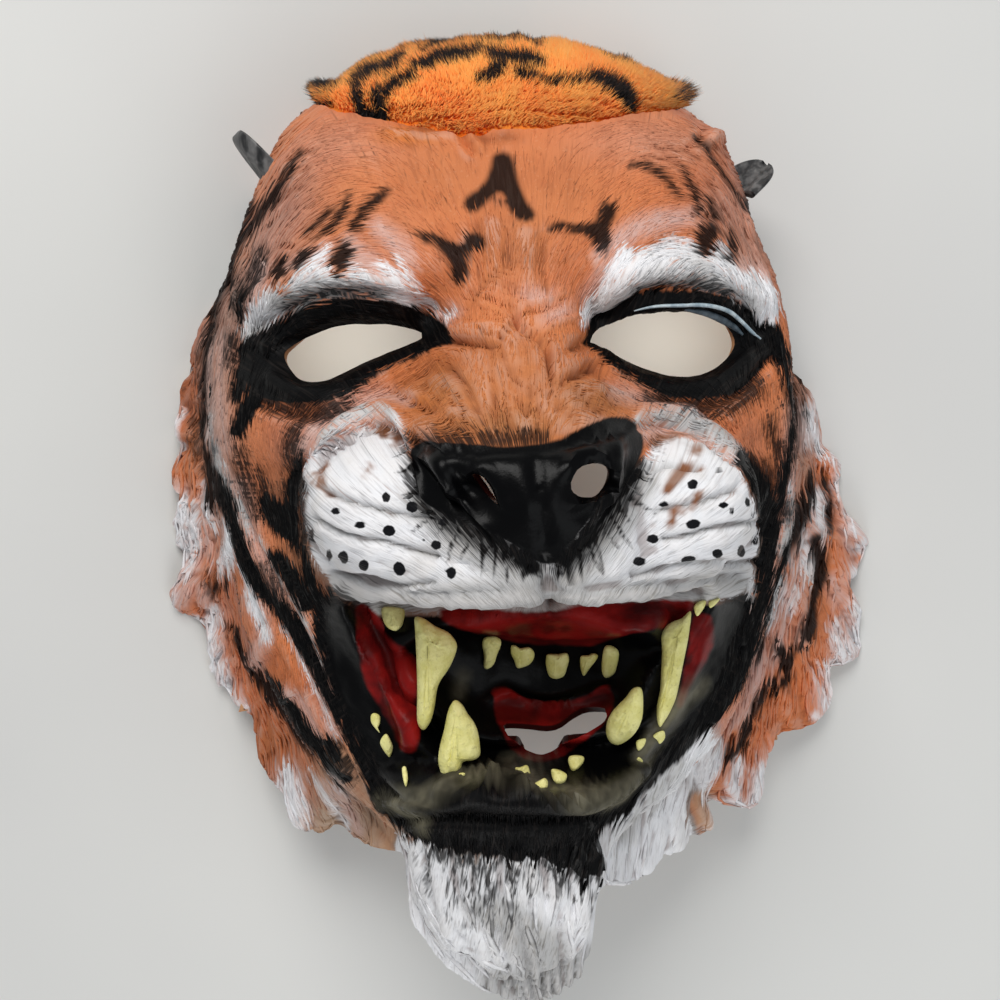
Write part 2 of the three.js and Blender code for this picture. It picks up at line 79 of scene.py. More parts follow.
# teeth in front-view units: outline, root, tip, lift of root and tip in mm over the gum, bulge in mm
TEETH = [
    ([(415, 617), (425, 619), (435, 626), (448, 632), (455, 640), (457, 647), (454, 658), (448, 670), (441, 680), (437, 690), (435, 705), (432, 718), (428, 726), (424, 730), (420, 728), (417, 720), (417, 700), (417, 680), (416, 650), (415, 630)], (434, 632), (424, 724), 4, 3, 3.6),
    ([(690, 611), (691, 618), (688, 640), (684, 660), (680, 680), (676, 698), (670, 712), (664, 722), (660, 727), (657, 720), (657, 705), (660, 690), (661, 670), (662, 650), (661, 635), (664, 628), (672, 622), (682, 618)], (677, 628), (661, 718), 4, 3, 3.2),
    ([(455, 700), (462, 704), (468, 714), (474, 722), (478, 732), (480, 745), (480, 755), (474, 760), (463, 762), (461, 770), (458, 778), (448, 781), (443, 780), (440, 770), (438, 760), (440, 745), (444, 730), (447, 715), (450, 706)], (452, 766), (457, 710), 3, 6, 3.6),
    ([(636, 687), (641, 688), (643, 695), (643, 712), (641, 722), (636, 732), (628, 740), (618, 745), (610, 742), (606, 733), (607, 722), (612, 712), (619, 704), (626, 697), (631, 690)], (617, 734), (637, 696), 3, 6, 3.4),
    ([(484, 638), (493, 636), (500, 639), (501, 645), (497, 655), (494, 664), (488, 669), (484, 667), (484, 655), (482, 645)], (492, 642), (488, 664), 2, 2, 1.8),
    ([(511, 646), (515, 645), (520, 648), (529, 647), (534, 652), (534, 658), (530, 664), (524, 667), (517, 668), (514, 660), (511, 654)], (522, 650), (522, 664), 2, 2, 1.8),
    ([(548, 654), (558, 654), (567, 653), (569, 660), (567, 668), (564, 676), (556, 679), (549, 676), (546, 666), (546, 658)], (558, 658), (556, 674), 2, 2, 1.8),
    ([(581, 656), (588, 655), (594, 653), (598, 656), (595, 662), (590, 668), (584, 676), (581, 670), (580, 662)], (590, 658), (584, 671), 2, 2, 1.6),
    ([(604, 648), (609, 645), (616, 648), (619, 654), (617, 666), (614, 674), (606, 678), (602, 672), (602, 660)], (611, 651), (608, 673), 2, 2, 1.8),
    ([(515, 768), (520, 767), (527, 765), (530, 771), (530, 777), (523, 779), (517, 777)], (523, 776), (522, 769), 1.5, 2.5, 1.5),
    ([(534, 784), (540, 780), (545, 778), (548, 782), (547, 788), (542, 790), (537, 788)], (541, 787), (542, 781), 1.5, 2.5, 1.5),
    ([(551, 770), (556, 769), (562, 771), (567, 775), (565, 782), (559, 785), (553, 780)], (559, 781), (558, 773), 1.5, 2.5, 1.6),
    ([(568, 760), (570, 756), (577, 755), (584, 757), (583, 763), (578, 769), (573, 773), (570, 768)], (575, 768), (576, 759), 1.5, 2.5, 1.6),
    ([(382, 608), (394, 607), (405, 610), (406, 620), (402, 627), (396, 631), (388, 628), (383, 620)], (394, 611), (394, 627), 2, 2, 2.0),
    ([(371, 715), (375, 713), (380, 716), (380, 723), (378, 728), (380, 733), (375, 728), (371, 722)], (375, 717), (377, 728), 1, 1, 1.0),
    ([(383, 736), (387, 734), (391, 741), (393, 748), (390, 757), (387, 755), (382, 748), (380, 742)], (387, 738), (387, 752), 1, 1, 1.2),
    ([(402, 768), (406, 767), (408, 778), (406, 787), (403, 779)], (404, 770), (405, 783), 1, 1, 0.8),
    ([(455, 776), (459, 773), (465, 773), (464, 777), (458, 781)], (459, 777), (462, 775), 1, 1, 0.8),
    ([(653, 736), (658, 732), (664, 731), (665, 738), (660, 744), (657, 740)], (658, 735), (661, 740), 1, 1, 0.8),
    ([(636, 742), (641, 739), (646, 739), (644, 746), (638, 751)], (640, 743), (641, 748), 1, 1, 0.8),
    ([(636, 760), (639, 757), (643, 761), (640, 764)], (639, 759), (640, 762), 1, 1, 0.6),
    ([(694, 606), (700, 601), (706, 601), (704, 608), (698, 616), (695, 613)], (700, 605), (698, 612), 1.5, 1.5, 1.2),
    ([(709, 602), (716, 599), (720, 599), (715, 605), (710, 608)], (714, 602), (712, 605), 1, 1, 0.8)]
# the edge of the flared ruff and beard in front-view units, from the left ear round under the beard to the right ear
OUTLINE = [
    (254, 186), (248, 190), (241, 198), (239, 206), (233, 214), (230, 222), (229, 230), (226, 240), (221, 248), (218, 254), (216, 264), (218, 270), (221, 274), (219, 284), (213, 292), (207, 299),
    (204, 306), (204, 314), (207, 322), (208, 326), (203, 332), (198, 339), (194, 342), (197, 346), (190, 352), (180, 361), (177, 370), (180, 377), (179, 390), (184, 401), (184, 410), (178, 418),
    (175, 428), (177, 438), (184, 448), (178, 456), (173, 468), (174, 478), (177, 488), (182, 497), (179, 504), (176, 514), (173, 522), (177, 532), (176, 542), (181, 548), (186, 556), (184, 567),
    (179, 580), (171, 588), (170, 596), (174, 605), (179, 610), (188, 614), (199, 615), (203, 622), (208, 626), (212, 633), (209, 642), (211, 650), (215, 658), (211, 667), (216, 676), (224, 683),
    (230, 692), (229, 706), (235, 714), (249, 714), (253, 720), (256, 732), (262, 746), (268, 760), (269, 766), (274, 778), (283, 784), (287, 798), (290, 810), (298, 820), (304, 826), (314, 829),
    (330, 825), (339, 822), (346, 828), (353, 836), (360, 838), (376, 846), (386, 849), (402, 852), (405, 870), (406, 890), (408, 904), (412, 922), (418, 938), (422, 946), (432, 956), (442, 962),
    (452, 970), (466, 982), (480, 988), (492, 992), (504, 997), (540, 1010), (576, 1014), (582, 1000), (586, 980), (590, 962), (592, 950), (596, 942), (595, 920), (596, 902), (600, 903), (610, 904),
    (620, 894), (625, 884), (630, 881), (640, 878), (648, 870), (654, 860), (660, 853), (670, 855), (680, 848), (688, 840), (687, 834), (700, 834), (706, 829), (712, 826), (711, 819), (706, 806),
    (706, 798), (720, 802), (734, 804), (742, 808), (749, 808), (752, 802), (758, 796), (761, 786), (762, 776), (761, 768), (766, 758), (768, 749), (773, 742), (778, 736), (786, 733), (800, 732),
    (812, 732), (820, 730), (829, 730), (831, 724), (830, 718), (830, 713), (837, 712), (842, 705), (841, 700), (845, 696), (852, 694), (857, 692), (861, 686), (860, 680), (857, 674), (853, 665),
    (859, 650), (860, 644), (857, 637), (857, 628), (861, 615), (859, 600), (859, 590), (856, 580), (857, 568), (858, 561), (862, 556), (862, 549), (868, 544), (871, 536), (870, 528), (864, 522),
    (854, 518), (848, 518), (845, 510), (840, 500), (836, 490), (834, 486), (839, 480), (840, 472), (841, 464), (838, 459), (830, 452), (822, 446), (821, 440), (820, 426), (817, 412), (814, 405),
    (816, 402), (816, 394), (812, 386), (809, 370), (806, 356), (802, 340), (796, 320), (790, 306), (786, 292), (780, 270), (776, 256), (770, 244), (765, 230), (760, 218), (755, 206), (790, 100), (500, -400), (200, 60)]

# ---- the front view: a viewpoint over the face, in front-view units of a 1000 x 1000 square ----------------
YAW, LIFT, FAR, LENS = math.radians(4.0), math.radians(10.0), 550.0, 1722.0
AIM = np.array([-3.0, 0.0, 100.0])
OUT = np.array([-math.sin(YAW) * math.cos(LIFT), math.sin(LIFT), math.cos(YAW) * math.cos(LIFT)])
RIGHT = np.array([math.cos(YAW), 0.0, math.sin(YAW)])
UP = np.cross(OUT, RIGHT)
EYE = AIM + FAR * OUT


def front_view(p):
    v = p - EYE
    depth = -(v @ OUT)
    return 500 + LENS * (v @ RIGHT) / depth, 500 - LENS * (v @ UP) / depth


# ---- small helpers ---------------------------------------------------------------------------------------
def sm(a, b, x):
    t = np.clip((x - a) / (b - a), 0, 1)
    return t * t * (3 - 2 * t)


def smax(a, b, k):
    h = np.clip(0.5 + 0.5 * (a - b) / k, 0, 1)
    return b + (a - b) * h + k * h * (1 - h)


def smin(a, b, k):
    return -smax(-a, -b, k)


def bell(x, y, cx, cy, sx, sy, turn=0.0):
    c, s = math.cos(math.radians(turn)), math.sin(math.radians(turn))
    dx, dy = x - cx, y - cy
    return np.exp(-((dx * c + dy * s) / sx) ** 2 - ((-dx * s + dy * c) / sy) ** 2)


def hash2(i, j, seed):
    n = (i.astype(np.int64) * 374761393 + j.astype(np.int64) * 668265263 + seed * 1274126177) & 0x7FFFFFFF
    n = ((n ^ (n >> 13)) * 1103515245) & 0x7FFFFFFF
    return ((n ^ (n >> 16)) & 0xFFFF) / 65535.0


def noise(x, y, seed=0):
    """Smooth value noise from 0 to 1."""
    i, j = np.floor(x), np.floor(y)
    f, g = x - i, y - j
    f, g = f * f * (3 - 2 * f), g * g * (3 - 2 * g)
    a, b = hash2(i, j, seed), hash2(i + 1, j, seed)
    c, d = hash2(i, j + 1, seed), hash2(i + 1, j + 1, seed)
    return (a + (b - a) * f) * (1 - g) + (c + (d - c) * f) * g


def strands(p, q, seed=0):
    """Rounded strands side by side along q, with sharp grooves between them."""
    warp = 1.6 * noise(p * 0.12, q * 0.09, seed + 5)
    n = noise(p * 1.0 + warp, q, seed) * 0.65 + 0.35 * noise(p * 2.3 + warp, q * 1.7, seed + 9)
    return np.abs(2 * n - 1) ** 0.75


def ring(table, angle):
    a, v = table[:, 0], table[:, 1:]
    n = len(a)
    x = np.concatenate([a[-1:] - 360, a, a[:2] + 360])
    y = np.concatenate([v[-1:], v, v[:2]])
    p = (angle - a[0]) % 360 + a[0]
    i = np.clip(np.searchsorted(x, p, side="right") - 1, 1, n)
    d = np.diff(y, axis=0) / np.diff(x)[:, None]
    m = np.zeros_like(y)
    l, r = d[:-1], d[1:]
    m[1:-1] = np.where(l * r > 0, 2 * l * r / (l + r + 1e-12), 0)
    h = x[i + 1] - x[i]
    t = ((p - x[i]) / h)[..., None]
    h = h[..., None]
    return (2 * t**3 - 3 * t**2 + 1) * y[i] + (t**3 - 2 * t**2 + t) * h * m[i] + (3 * t**2 - 2 * t**3) * y[i + 1] + (t**3 - t**2) * h * m[i + 1]


def soft_table():
    a = np.arange(-180, 180, 2.0)
    d = (a[:, None] - a[None, :] + 180) % 360 - 180
    w = np.exp(-((d / 11.0) ** 2))
    w /= w.sum(1, keepdims=True)
    return np.concatenate([a[:, None], w @ ring(EDGE, a)], 1)


SOFT_EDGE = soft_table()


def lock_at(angle):
    p = (angle + 360) % 360
    side = np.where(p > 270, 540 - p, p)
    side = np.where(p < 90, 180 - p, side)
    f = ((side - 150) / LOCK_STEP) % 1.0
    return np.where(f < 0.62, f / 0.62, (1 - f) / 0.38) ** 0.8


def ruff_at(angle):
    p = (angle + 360) % 360
    return sm(48, 34, np.minimum(np.abs(p - 200), np.abs(p - 340)))


def within(poly, u, v):
    out = np.zeros(u.shape, bool)
    for (ax, ay), (bx, by) in zip(poly, poly[1:] + poly[:1]):
        if ay != by:
            out ^= ((ay > v) != (by > v)) & (u < ax + (v - ay) / (by - ay) * (bx - ax))
    return out


def rim_table():
    """Radius of the cut edge at each angle, so that from the front it follows OUTLINE."""
    a = np.arange(-180, 180, 0.3)
    e = ring(EDGE, a)
    cut = 1 - LOCK_DEPTH * (1 - lock_at(a)) * ruff_at(a)
    plain = e[:, 0] + (e[:, 2] - e[:, 0]) * cut
    z = e[:, 1] + (e[:, 3] - e[:, 1]) * (1 - (1 - cut) * 0.6)
    radii = np.arange(60, 190, 0.5)
    c, s = np.cos(np.radians(a)), np.sin(np.radians(a))
    p = np.stack([radii[None] * c[:, None], radii[None] * s[:, None], np.repeat(z[:, None], len(radii), 1)], -1)
    u, v = front_view(p)
    out = ~within(OUTLINE, u, v)
    out[:, -1] = True
    r = radii[np.argmax(out, 1)]
    q = (a + 360) % 360
    far = (q + 180) % 360 - 180
    low = np.where(q > 180, np.clip(q - 165, 0, None), q - 165)
    use = np.where((q > 90) & (q <= 270), sm(163, 172, q), np.where(q > 270, 1.0, sm(18, 8, q)))
    beard = sm(24, 14, np.abs(q - 271))
    r = plain + np.clip(r - plain, -15, 9 - 7 * beard) * use
    return a, np.convolve(np.concatenate([r[-2:], r, r[:2]]), [0.1, 0.2, 0.4, 0.2, 0.1], "valid")


RIM_A, RIM_R = rim_table()


def head_form(s, angle, fine=False):
    sharp, soft = ring(EDGE, angle), ring(SOFT_EDGE, angle)
    k = sm(0.42, 0.74, s)
    wall_r = soft[..., 0] + (sharp[..., 0] - soft[..., 0]) * k
    wall_z = soft[..., 1] + (sharp[..., 1] - soft[..., 1]) * k
    rim_r, rim_z = sharp[..., 2], sharp[..., 3]
    t = np.clip(s / WALL_SHARE, 0, 1) * np.pi / 2
    w = np.clip((s - WALL_SHARE) / (1 - WALL_SHARE), 0, 1)
    cut = 1 - LOCK_DEPTH * (1 - lock_at(angle)) * ruff_at(angle)
    r = wall_r * np.sin(t) ** 0.9 + (rim_r - wall_r) * w**1.5 * cut
    if fine:
        edge = np.interp((angle + 180) % 360 - 180, RIM_A, RIM_R, period=360)
        r = wall_r * np.sin(t) ** 0.9 + (edge - wall_r) * w**1.35
    z = wall_z + (TOP - wall_z) * np.maximum(np.cos(t), 1e-9) ** 0.85 + (rim_z - wall_z) * w * (1 - (1 - cut) * 0.6)
    a = np.radians(angle)
    return r * np.cos(a), r * np.sin(a), z


def lump(x, y, cx, cy, ax, ay, turn, foot, height, p, q):
    c, s = math.cos(math.radians(turn)), math.sin(math.radians(turn))
    dx, dy = x - cx, y - cy
    d = np.hypot((dx * c + dy * s) / ax, (-dx * s + dy * c) / ay)
    return foot + height * np.clip(1 - d**p, 0, 1) ** q - 60 * np.clip(d - 1, 0, 1.2)


def raise_face(x, y, z):
    side = np.abs(x)
    h = 11 * bell(side, y, 46, 72, 31, 11, -14) + 8 * bell(x, y, 0, 80, 17, 24)
    h = h - 17 * bell(side, y, 49, 49, 25, 11, 4) - 7 * bell(side, y, 25, 55, 8, 12)
    h = h + 10 * bell(side, y, 66, 24, 22, 14, -12) - 12 * bell(side, y, 80, -16, 15, 34)
    ridge = 55 * sm(82, 24, y) ** 1.2 * sm(-52, -12, y)
    width = 18 + 26 * sm(66, 6, y) + 10 * sm(10, -20, y)
    out = z + h + ridge / (1 + (np.abs(x - 2) / width) ** 4) + 15 * bell(x, y, 4, -62, 58, 44)
    left = lump(x, y, -30, 2, 36, 26.5, -8, 112, 50, 3.2, 0.5)
    right = lump(x, y, 41, 2, 35, 26.5, 7, 112, 50, 3.2, 0.5)
    out = smax(out, smax(left, right, 5), 3)
    out = smax(out, lump(x, y, 6, -5, 19, 18, 0, 120, 44, 2.3, 0.55), 5)
    out = out - 5 * bell(x, y, 6, -14, 3.2, 12)
    arc = (np.hypot((side - 36) / 1.25, y) - 31) / 4
    out = out + 4 * np.exp(-arc * arc) * sm(8, 20, y) * sm(18, 32, side)
    half, off = 34 * sm(-16, 27, y) ** 0.75 + 1, np.abs(x - 1 - 0.12 * (18 - y))
    mask = sm(1, 0.72, off / half) * sm(36, 28, y) * sm(-18, -9, y)
    front = 181 - 0.028 * np.clip(y - 12, 0, 60) ** 2 - 0.32 * np.clip(12 - y, 0, 40) - 0.006 * off * off
    out = smax(out, 132 + (front - 132) * mask - 90 * sm(0.25, 0, mask), 3)
    for n in (-1, 1):
        out = out - 10 * bell(x, y, 2 + 17.5 * n, 15, 8, 5.5, 18 * n)
    return out


def inside_mouth(x, y):
    cx = 6.5 - 0.04 * (y + 20)
    half = 61 - 30 * np.clip((-22 - y) / 62, 0, 1) ** 1.25
    upper = -18 - y - 0.002 * (x - 6) ** 2
    lower = y + 82.5 - 0.004 * (x - cx) ** 2
    return smin(smin((half - np.abs(x - cx)) * 0.9, upper, 6), lower, 12)


def raise_jaw(x, y, z):
    drop = np.clip(-105 - y, 0, 80)
    cx, half = -3.5 + 0.13 * drop, 32 - 0.02 * np.clip(-100 - y, 0, 80) ** 1.1
    b = sm(half + 5, half - 9, np.abs(x - cx)) * sm(-80, -92, y)
    beard = 138 - 0.4 * np.clip(-96 - y, 0, 90) - 0.006 * (x - cx) ** 2
    out = z + (np.maximum(beard, z) - z) * b
    return smax(out, lump(x, y, 0, -86, 43, 10, 0, 114, 30, 2.2, 0.55) - 0.004 * (x - 2) ** 2, 5)


def face_point(s, angle, fine=False):
    x, y, z = head_form(s, angle, fine)
    f = raise_jaw(x, y, raise_face(x, y, z))
    m = inside_mouth(x, y)
    f = f + 2.5 * np.exp(-(((m + 3) / 3) ** 2)) * sm(-30, -45, y)
    gum_up = 12 * np.exp(-(((y + 32 + 0.004 * (x - 6) ** 2) / 6) ** 2)) * sm(46, 36, np.abs(x - 6))
    gum_low = 13 * np.exp(-(((m - 9) / 4.5) ** 2)) * sm(-44, -56, y)
    floor = 112 - 10 * bell(x, y, 8, -58, 26, 20) + gum_up + gum_low
    f = f + (np.minimum(floor, f) - f) * sm(-2.0, 4.5, m)
    return np.stack([x, y, z + (f - z) * sm(1, 0.72, s / WALL_SHARE)], -1)


def brow_y(x):
    return np.interp(x, BROW_EDGE[:, 0], BROW_EDGE[:, 1])


def grid_normals(p, n):
    q = p.reshape(n + 1, n + 1, 3)
    du, dv = np.gradient(q, axis=1), np.gradient(q, axis=0)
    m = np.cross(du, dv)
    m /= np.linalg.norm(m, axis=-1, keepdims=True) + 1e-12
    return m.reshape(-1, 3)


def spline(pts, k=3, closed=False):
    p = np.array(pts, float)
    if closed:
        p = np.concatenate([p[-1:], p, p[:2]])
    else:
        p = np.concatenate([2 * p[:1] - p[1:2], p, 2 * p[-1:] - p[-2:-1]])
    out = []
    for i in range(1, len(p) - 2):
        a, b, c, d = p[i - 1], p[i], p[i + 1], p[i + 2]
        for t in np.linspace(0, 1, k, endpoint=False):
            out.append(0.5 * (2 * b + (c - a) * t + (2 * a - 5 * b + 4 * c - d) * t * t + (3 * b - a - 3 * c + d) * t**3))
    if not closed:
        out.append(p[-2])
    return np.array(out)


class Field:
    """Brush strokes and areas over the points of a surface, given in front-view units."""

    def __init__(self, u, v):
        self.u, self.v = u, v

    def near(self, p, pad):
        lo, hi = p[:, :2].min(0) - pad, p[:, :2].max(0) + pad
        return np.nonzero((self.u > lo[0]) & (self.u < hi[0]) & (self.v > lo[1]) & (self.v < hi[1]))[0]

    def stroke(self, pts, pad=14.0, k=3):
        """How far inside a stroke of [u, v, radius] points each surface point is, how far along, and its radius there."""
        pts = [tuple(a) + (0.0,) * (3 - len(a)) for a in pts]
        if len(pts) == 1:  # a dab
            pts = pts + [(pts[0][0] + 0.2, pts[0][1], pts[0][2])]
        p = spline(pts, k)
        idx = self.near(p, pad + p[:, 2].max())
        u, v = self.u[idx], self.v[idx]
        best, along, rad = np.full(len(idx), -999.0), np.zeros(len(idx)), np.ones(len(idx))
        step = np.hypot(*np.diff(p[:, :2], axis=0).T)
        run = np.concatenate([[0], np.cumsum(step)])
        for i in range(len(p) - 1):
            a, b = p[i], p[i + 1]
            d = b[:2] - a[:2]
            t = np.clip(((u - a[0]) * d[0] + (v - a[1]) * d[1]) / max(d @ d, 1e-9), 0, 1)
            r = a[2] + (b[2] - a[2]) * t
            e = r - np.hypot(u - a[0] - d[0] * t, v - a[1] - d[1] * t)
            m = e > best
            best = np.where(m, e, best)
            along = np.where(m, (run[i] + step[i] * t) / max(run[-1], 1e-9), along)
            rad = np.where(m, r, rad)
        return idx, best, along, rad

    def area(self, pts, pad=16.0, k=3):
        p = spline(pts, k, closed=True)
        idx = self.near(p, pad)
        u, v = self.u[idx], self.v[idx]
        best, inside = np.full(len(idx), 1e9), np.zeros(len(idx), bool)
        for a, b in zip(p, np.roll(p, -1, axis=0)):
            d = b - a
            t = np.clip(((u - a[0]) * d[0] + (v - a[1]) * d[1]) / max(d @ d, 1e-9), 0, 1)
            best = np.minimum(best, np.hypot(u - a[0] - d[0] * t, v - a[1] - d[1] * t))
            cross = (a[1] > v) != (b[1] > v)
            inside ^= cross & (u < a[0] + (v - a[1]) / (d[1] if abs(d[1]) > 1e-9 else 1e-9) * d[0])
        return idx, np.where(inside, best, -best)

    def mask(self, strokes=(), areas=(), low=-24.0):
        """How far inside the union of strokes and areas each point is, in front-view units."""
        out = np.full(len(self.u), low)
        for s in strokes:
            idx, e, _, _ = self.stroke(s, pad=-low)
            out[idx] = np.maximum(out[idx], e)
        for a in areas:
            idx, e = self.area(a, pad=-low)
            out[idx] = np.maximum(out[idx], e)
        return out


# ---- what is painted and modelled, in front-view units ------------------------------------------------------
EYE_LEFT = [(284, 353), (300, 341), (328, 329), (352, 325), (390, 325), (419, 331), (422, 339), (398, 350), (370, 362), (345, 373), (325, 381), (303, 381), (291, 370)]
EYE_RIGHT = [(593, 335), (614, 319), (640, 313), (680, 312), (718, 321), (735, 338), (731, 353), (714, 369), (690, 377), (660, 374), (625, 362), (601, 349)]
NOSTRIL_LEFT = [(472, 474), (476, 472), (482, 475), (490, 485), (496, 495), (499, 505), (493, 501), (485, 493), (477, 483)]
NOSTRIL_RIGHT = [(572, 478), (579, 468), (590, 464), (602, 464), (608, 470), (607, 480), (601, 490), (594, 498), (585, 498), (576, 496), (571, 488)]
THROAT = [(503, 725), (510, 722), (530, 723), (545, 725), (558, 723), (568, 716), (580, 709), (592, 707), (604, 708), (607, 714), (603, 722), (590, 731), (575, 739), (560, 746), (550, 752), (540, 754), (528, 751), (516, 743), (508, 736)]

BLACK_STROKES = [
    [(302, 150, 3), (290, 170, 5), (276, 190, 6), (262, 208, 6), (250, 226, 5), (242, 244, 5), (234, 262, 5), (227, 282, 4), (221, 305, 4), (215, 332, 4)], [(262, 196, 4), (250, 212, 5), (243, 226, 4)],
    [(262, 274, 3), (252, 288, 5), (245, 303, 4), (240, 320, 4)], [(240, 250, 3), (238, 275, 3), (232, 300, 3)],
    [(302, 545, 3), (308, 575, 6), (319, 602, 9), (327, 640, 10)],
    [(628, 166, 2.2), (640, 165, 3.4), (652, 169, 4), (664, 178, 3.6), (672, 188, 3), (678, 196, 1.8)], [(680, 166, 2), (686, 180, 3.6), (693, 193, 4), (698, 210, 2.6)], [(706, 196, 2.6), (711, 208, 4), (718, 218, 3)],
    [(694, 136, 2.4), (706, 148, 3.2), (718, 166, 3), (730, 182, 2.4), (742, 196, 3), (752, 210, 3.8), (762, 228, 5.5), (770, 246, 5), (777, 264, 4), (783, 284, 3.4), (790, 308, 2.6)],
    [(766, 330, 12), (776, 344, 9), (782, 366, 6), (788, 390, 5), (792, 412, 4)], [(786, 350, 3), (796, 380, 3), (804, 412, 2.4)],
    [(253, 395, 9), (245, 412, 9), (239, 430, 6)], [(243, 372, 9), (238, 395, 6)],
    [(213, 332, 4), (209, 352, 4), (208, 376, 4), (207, 396, 4)], [(206, 404, 5), (203, 420, 6), (206, 438, 5)],
    [(208, 440, 5), (212, 458, 6), (216, 474, 8), (226, 492, 9), (234, 506, 8), (237, 522, 6), (244, 542, 8), (250, 560, 9), (262, 582, 9), (280, 602, 9), (296, 624, 9), (310, 648, 8), (322, 672, 6), (334, 700, 5), (344, 722, 4), (360, 752, 5), (374, 770, 5)],
    [(276, 552, 7), (294, 578, 8), (308, 604, 7)], [(254, 666, 5), (268, 682, 9), (284, 700, 8), (298, 722, 9), (312, 740, 9), (322, 752, 7), (336, 770, 7), (350, 778, 4)], [(328, 738, 6), (338, 755, 7)],
    [(234, 622, 5), (243, 640, 6), (250, 655, 4)], [(222, 578, 4), (214, 590, 4), (211, 600, 2)], [(208, 468, 4), (212, 490, 6), (214, 506, 4)],
    [(790, 404, 3), (790, 425, 4), (786, 450, 5), (781, 476, 5), (778, 505, 4)], [(810, 470, 4), (806, 492, 7), (801, 512, 7), (794, 532, 6), (784, 552, 6), (776, 575, 4), (769, 600, 4), (763, 622, 4), (756, 650, 3.6)],
    [(822, 470, 3), (826, 492, 5), (829, 514, 5), (829, 532, 3)], [(817, 540, 7), (820, 558, 7), (820, 580, 6), (813, 600, 5), (808, 620, 8), (806, 634, 7)],
    [(772, 632, 3), (776, 646, 4.5), (786, 655, 7), (794, 648, 5)], [(762, 682, 5), (772, 682, 6), (784, 682, 5)], [(784, 660, 6), (790, 674, 5)], [(762, 690, 5), (757, 706, 5), (747, 718, 5), (745, 734, 5), (733, 746, 7), (730, 756, 5)],
    [(770, 552, 6), (762, 590, 7), (752, 620, 8), (746, 650, 9), (735, 682, 9), (717, 705, 9), (697, 726, 9), (676, 750, 9), (655, 772, 8), (640, 790, 8), (626, 806, 7)],
    [(345, 690, 10), (362, 735, 12), (382, 785, 12), (398, 815, 12)],
]
BLACK_AREAS = [
    [(237, 343), (258, 329), (280, 318), (300, 307), (340, 300), (390, 300), (420, 310), (449, 328), (448, 344), (425, 357), (400, 366), (380, 376), (363, 386), (345, 397), (320, 404), (295, 404), (268, 400), (250, 388), (241, 368)],
    [(589, 324), (604, 310), (640, 297), (700, 294), (737, 300), (757, 315), (770, 334), (776, 350), (764, 368), (748, 386), (722, 395), (690, 399), (655, 394), (625, 379), (603, 362), (589, 345)],
    [(301, 447), (292, 462), (286, 480), (284, 498), (268, 490), (257, 494), (262, 515), (276, 533), (294, 545), (303, 556), (306, 560), (300, 530), (299, 500), (305, 466)],
    [(735, 452), (752, 456), (768, 475), (778, 500), (778, 530), (772, 556), (754, 594), (757, 565), (761, 535), (758, 510), (750, 485), (738, 466)],
    [(414, 449), (420, 442), (432, 440), (460, 441), (500, 444), (540, 441), (560, 438), (575, 431), (600, 420), (619, 416), (636, 422), (643, 440), (640, 458), (630, 474), (610, 494), (592, 515), (574, 540), (550, 567), (530, 556), (510, 543), (470, 525), (440, 512), (420, 499), (414, 472)],
    [(326, 585), (338, 598), (352, 606), (370, 614), (400, 617), (450, 617), (500, 615), (548, 615), (600, 611), (640, 608), (690, 605), (726, 604), (744, 592), (752, 600), (748, 640), (740, 670), (726, 700), (704, 722), (680, 748), (656, 778), (636, 806), (612, 822), (598, 838), (599, 872), (580, 876), (565, 866), (535, 858), (500, 856), (470, 851), (445, 848), (414, 838), (396, 824), (380, 795), (363, 757), (350, 725), (335, 700), (326, 665), (320, 630)],
    [(493, 157), (502, 152), (510, 156), (515, 168), (519, 184), (527, 202), (535, 214), (529, 221), (517, 219), (509, 208), (505, 196), (498, 192), (488, 201), (480, 208), (472, 212), (464, 207), (467, 197), (478, 190), (487, 178), (491, 167)],
    [(417, 234), (432, 234), (446, 239), (456, 244), (464, 243), (466, 236), (473, 231), (482, 236), (486, 245), (479, 252), (471, 253), (469, 263), (468, 279), (461, 287), (453, 281), (451, 267), (444, 255), (436, 246), (424, 242)],
    [(548, 228), (560, 222), (573, 224), (587, 224), (596, 220), (598, 211), (603, 203), (611, 205), (616, 213), (611, 223), (608, 233), (609, 244), (605, 258), (597, 254), (591, 243), (585, 235), (572, 233), (561, 232), (552, 232)],
    [(306, 229), (317, 219), (328, 208), (335, 204), (330, 216), (320, 225), (311, 229)], [(311, 234), (326, 228), (338, 212), (346, 196), (352, 190), (351, 207), (343, 220), (330, 232), (318, 236)],
    [(351, 230), (357, 213), (370, 199), (383, 189), (391, 191), (380, 203), (368, 217), (361, 229)],
    [(276, 256), (283, 252), (291, 257), (294, 268), (291, 277), (282, 278), (277, 268)], [(298, 256), (304, 247), (313, 244), (318, 251), (314, 263), (307, 270), (300, 268)],
    [(339, 249), (344, 240), (354, 240), (357, 254), (352, 272), (347, 279), (340, 272), (338, 260)],
    [(688, 249), (694, 240), (694, 230), (701, 222), (712, 221), (719, 228), (714, 241), (707, 253), (697, 258), (690, 255)], [(724, 229), (730, 225), (735, 232), (735, 243), (730, 256), (722, 264), (718, 258), (724, 247), (727, 238)],
]
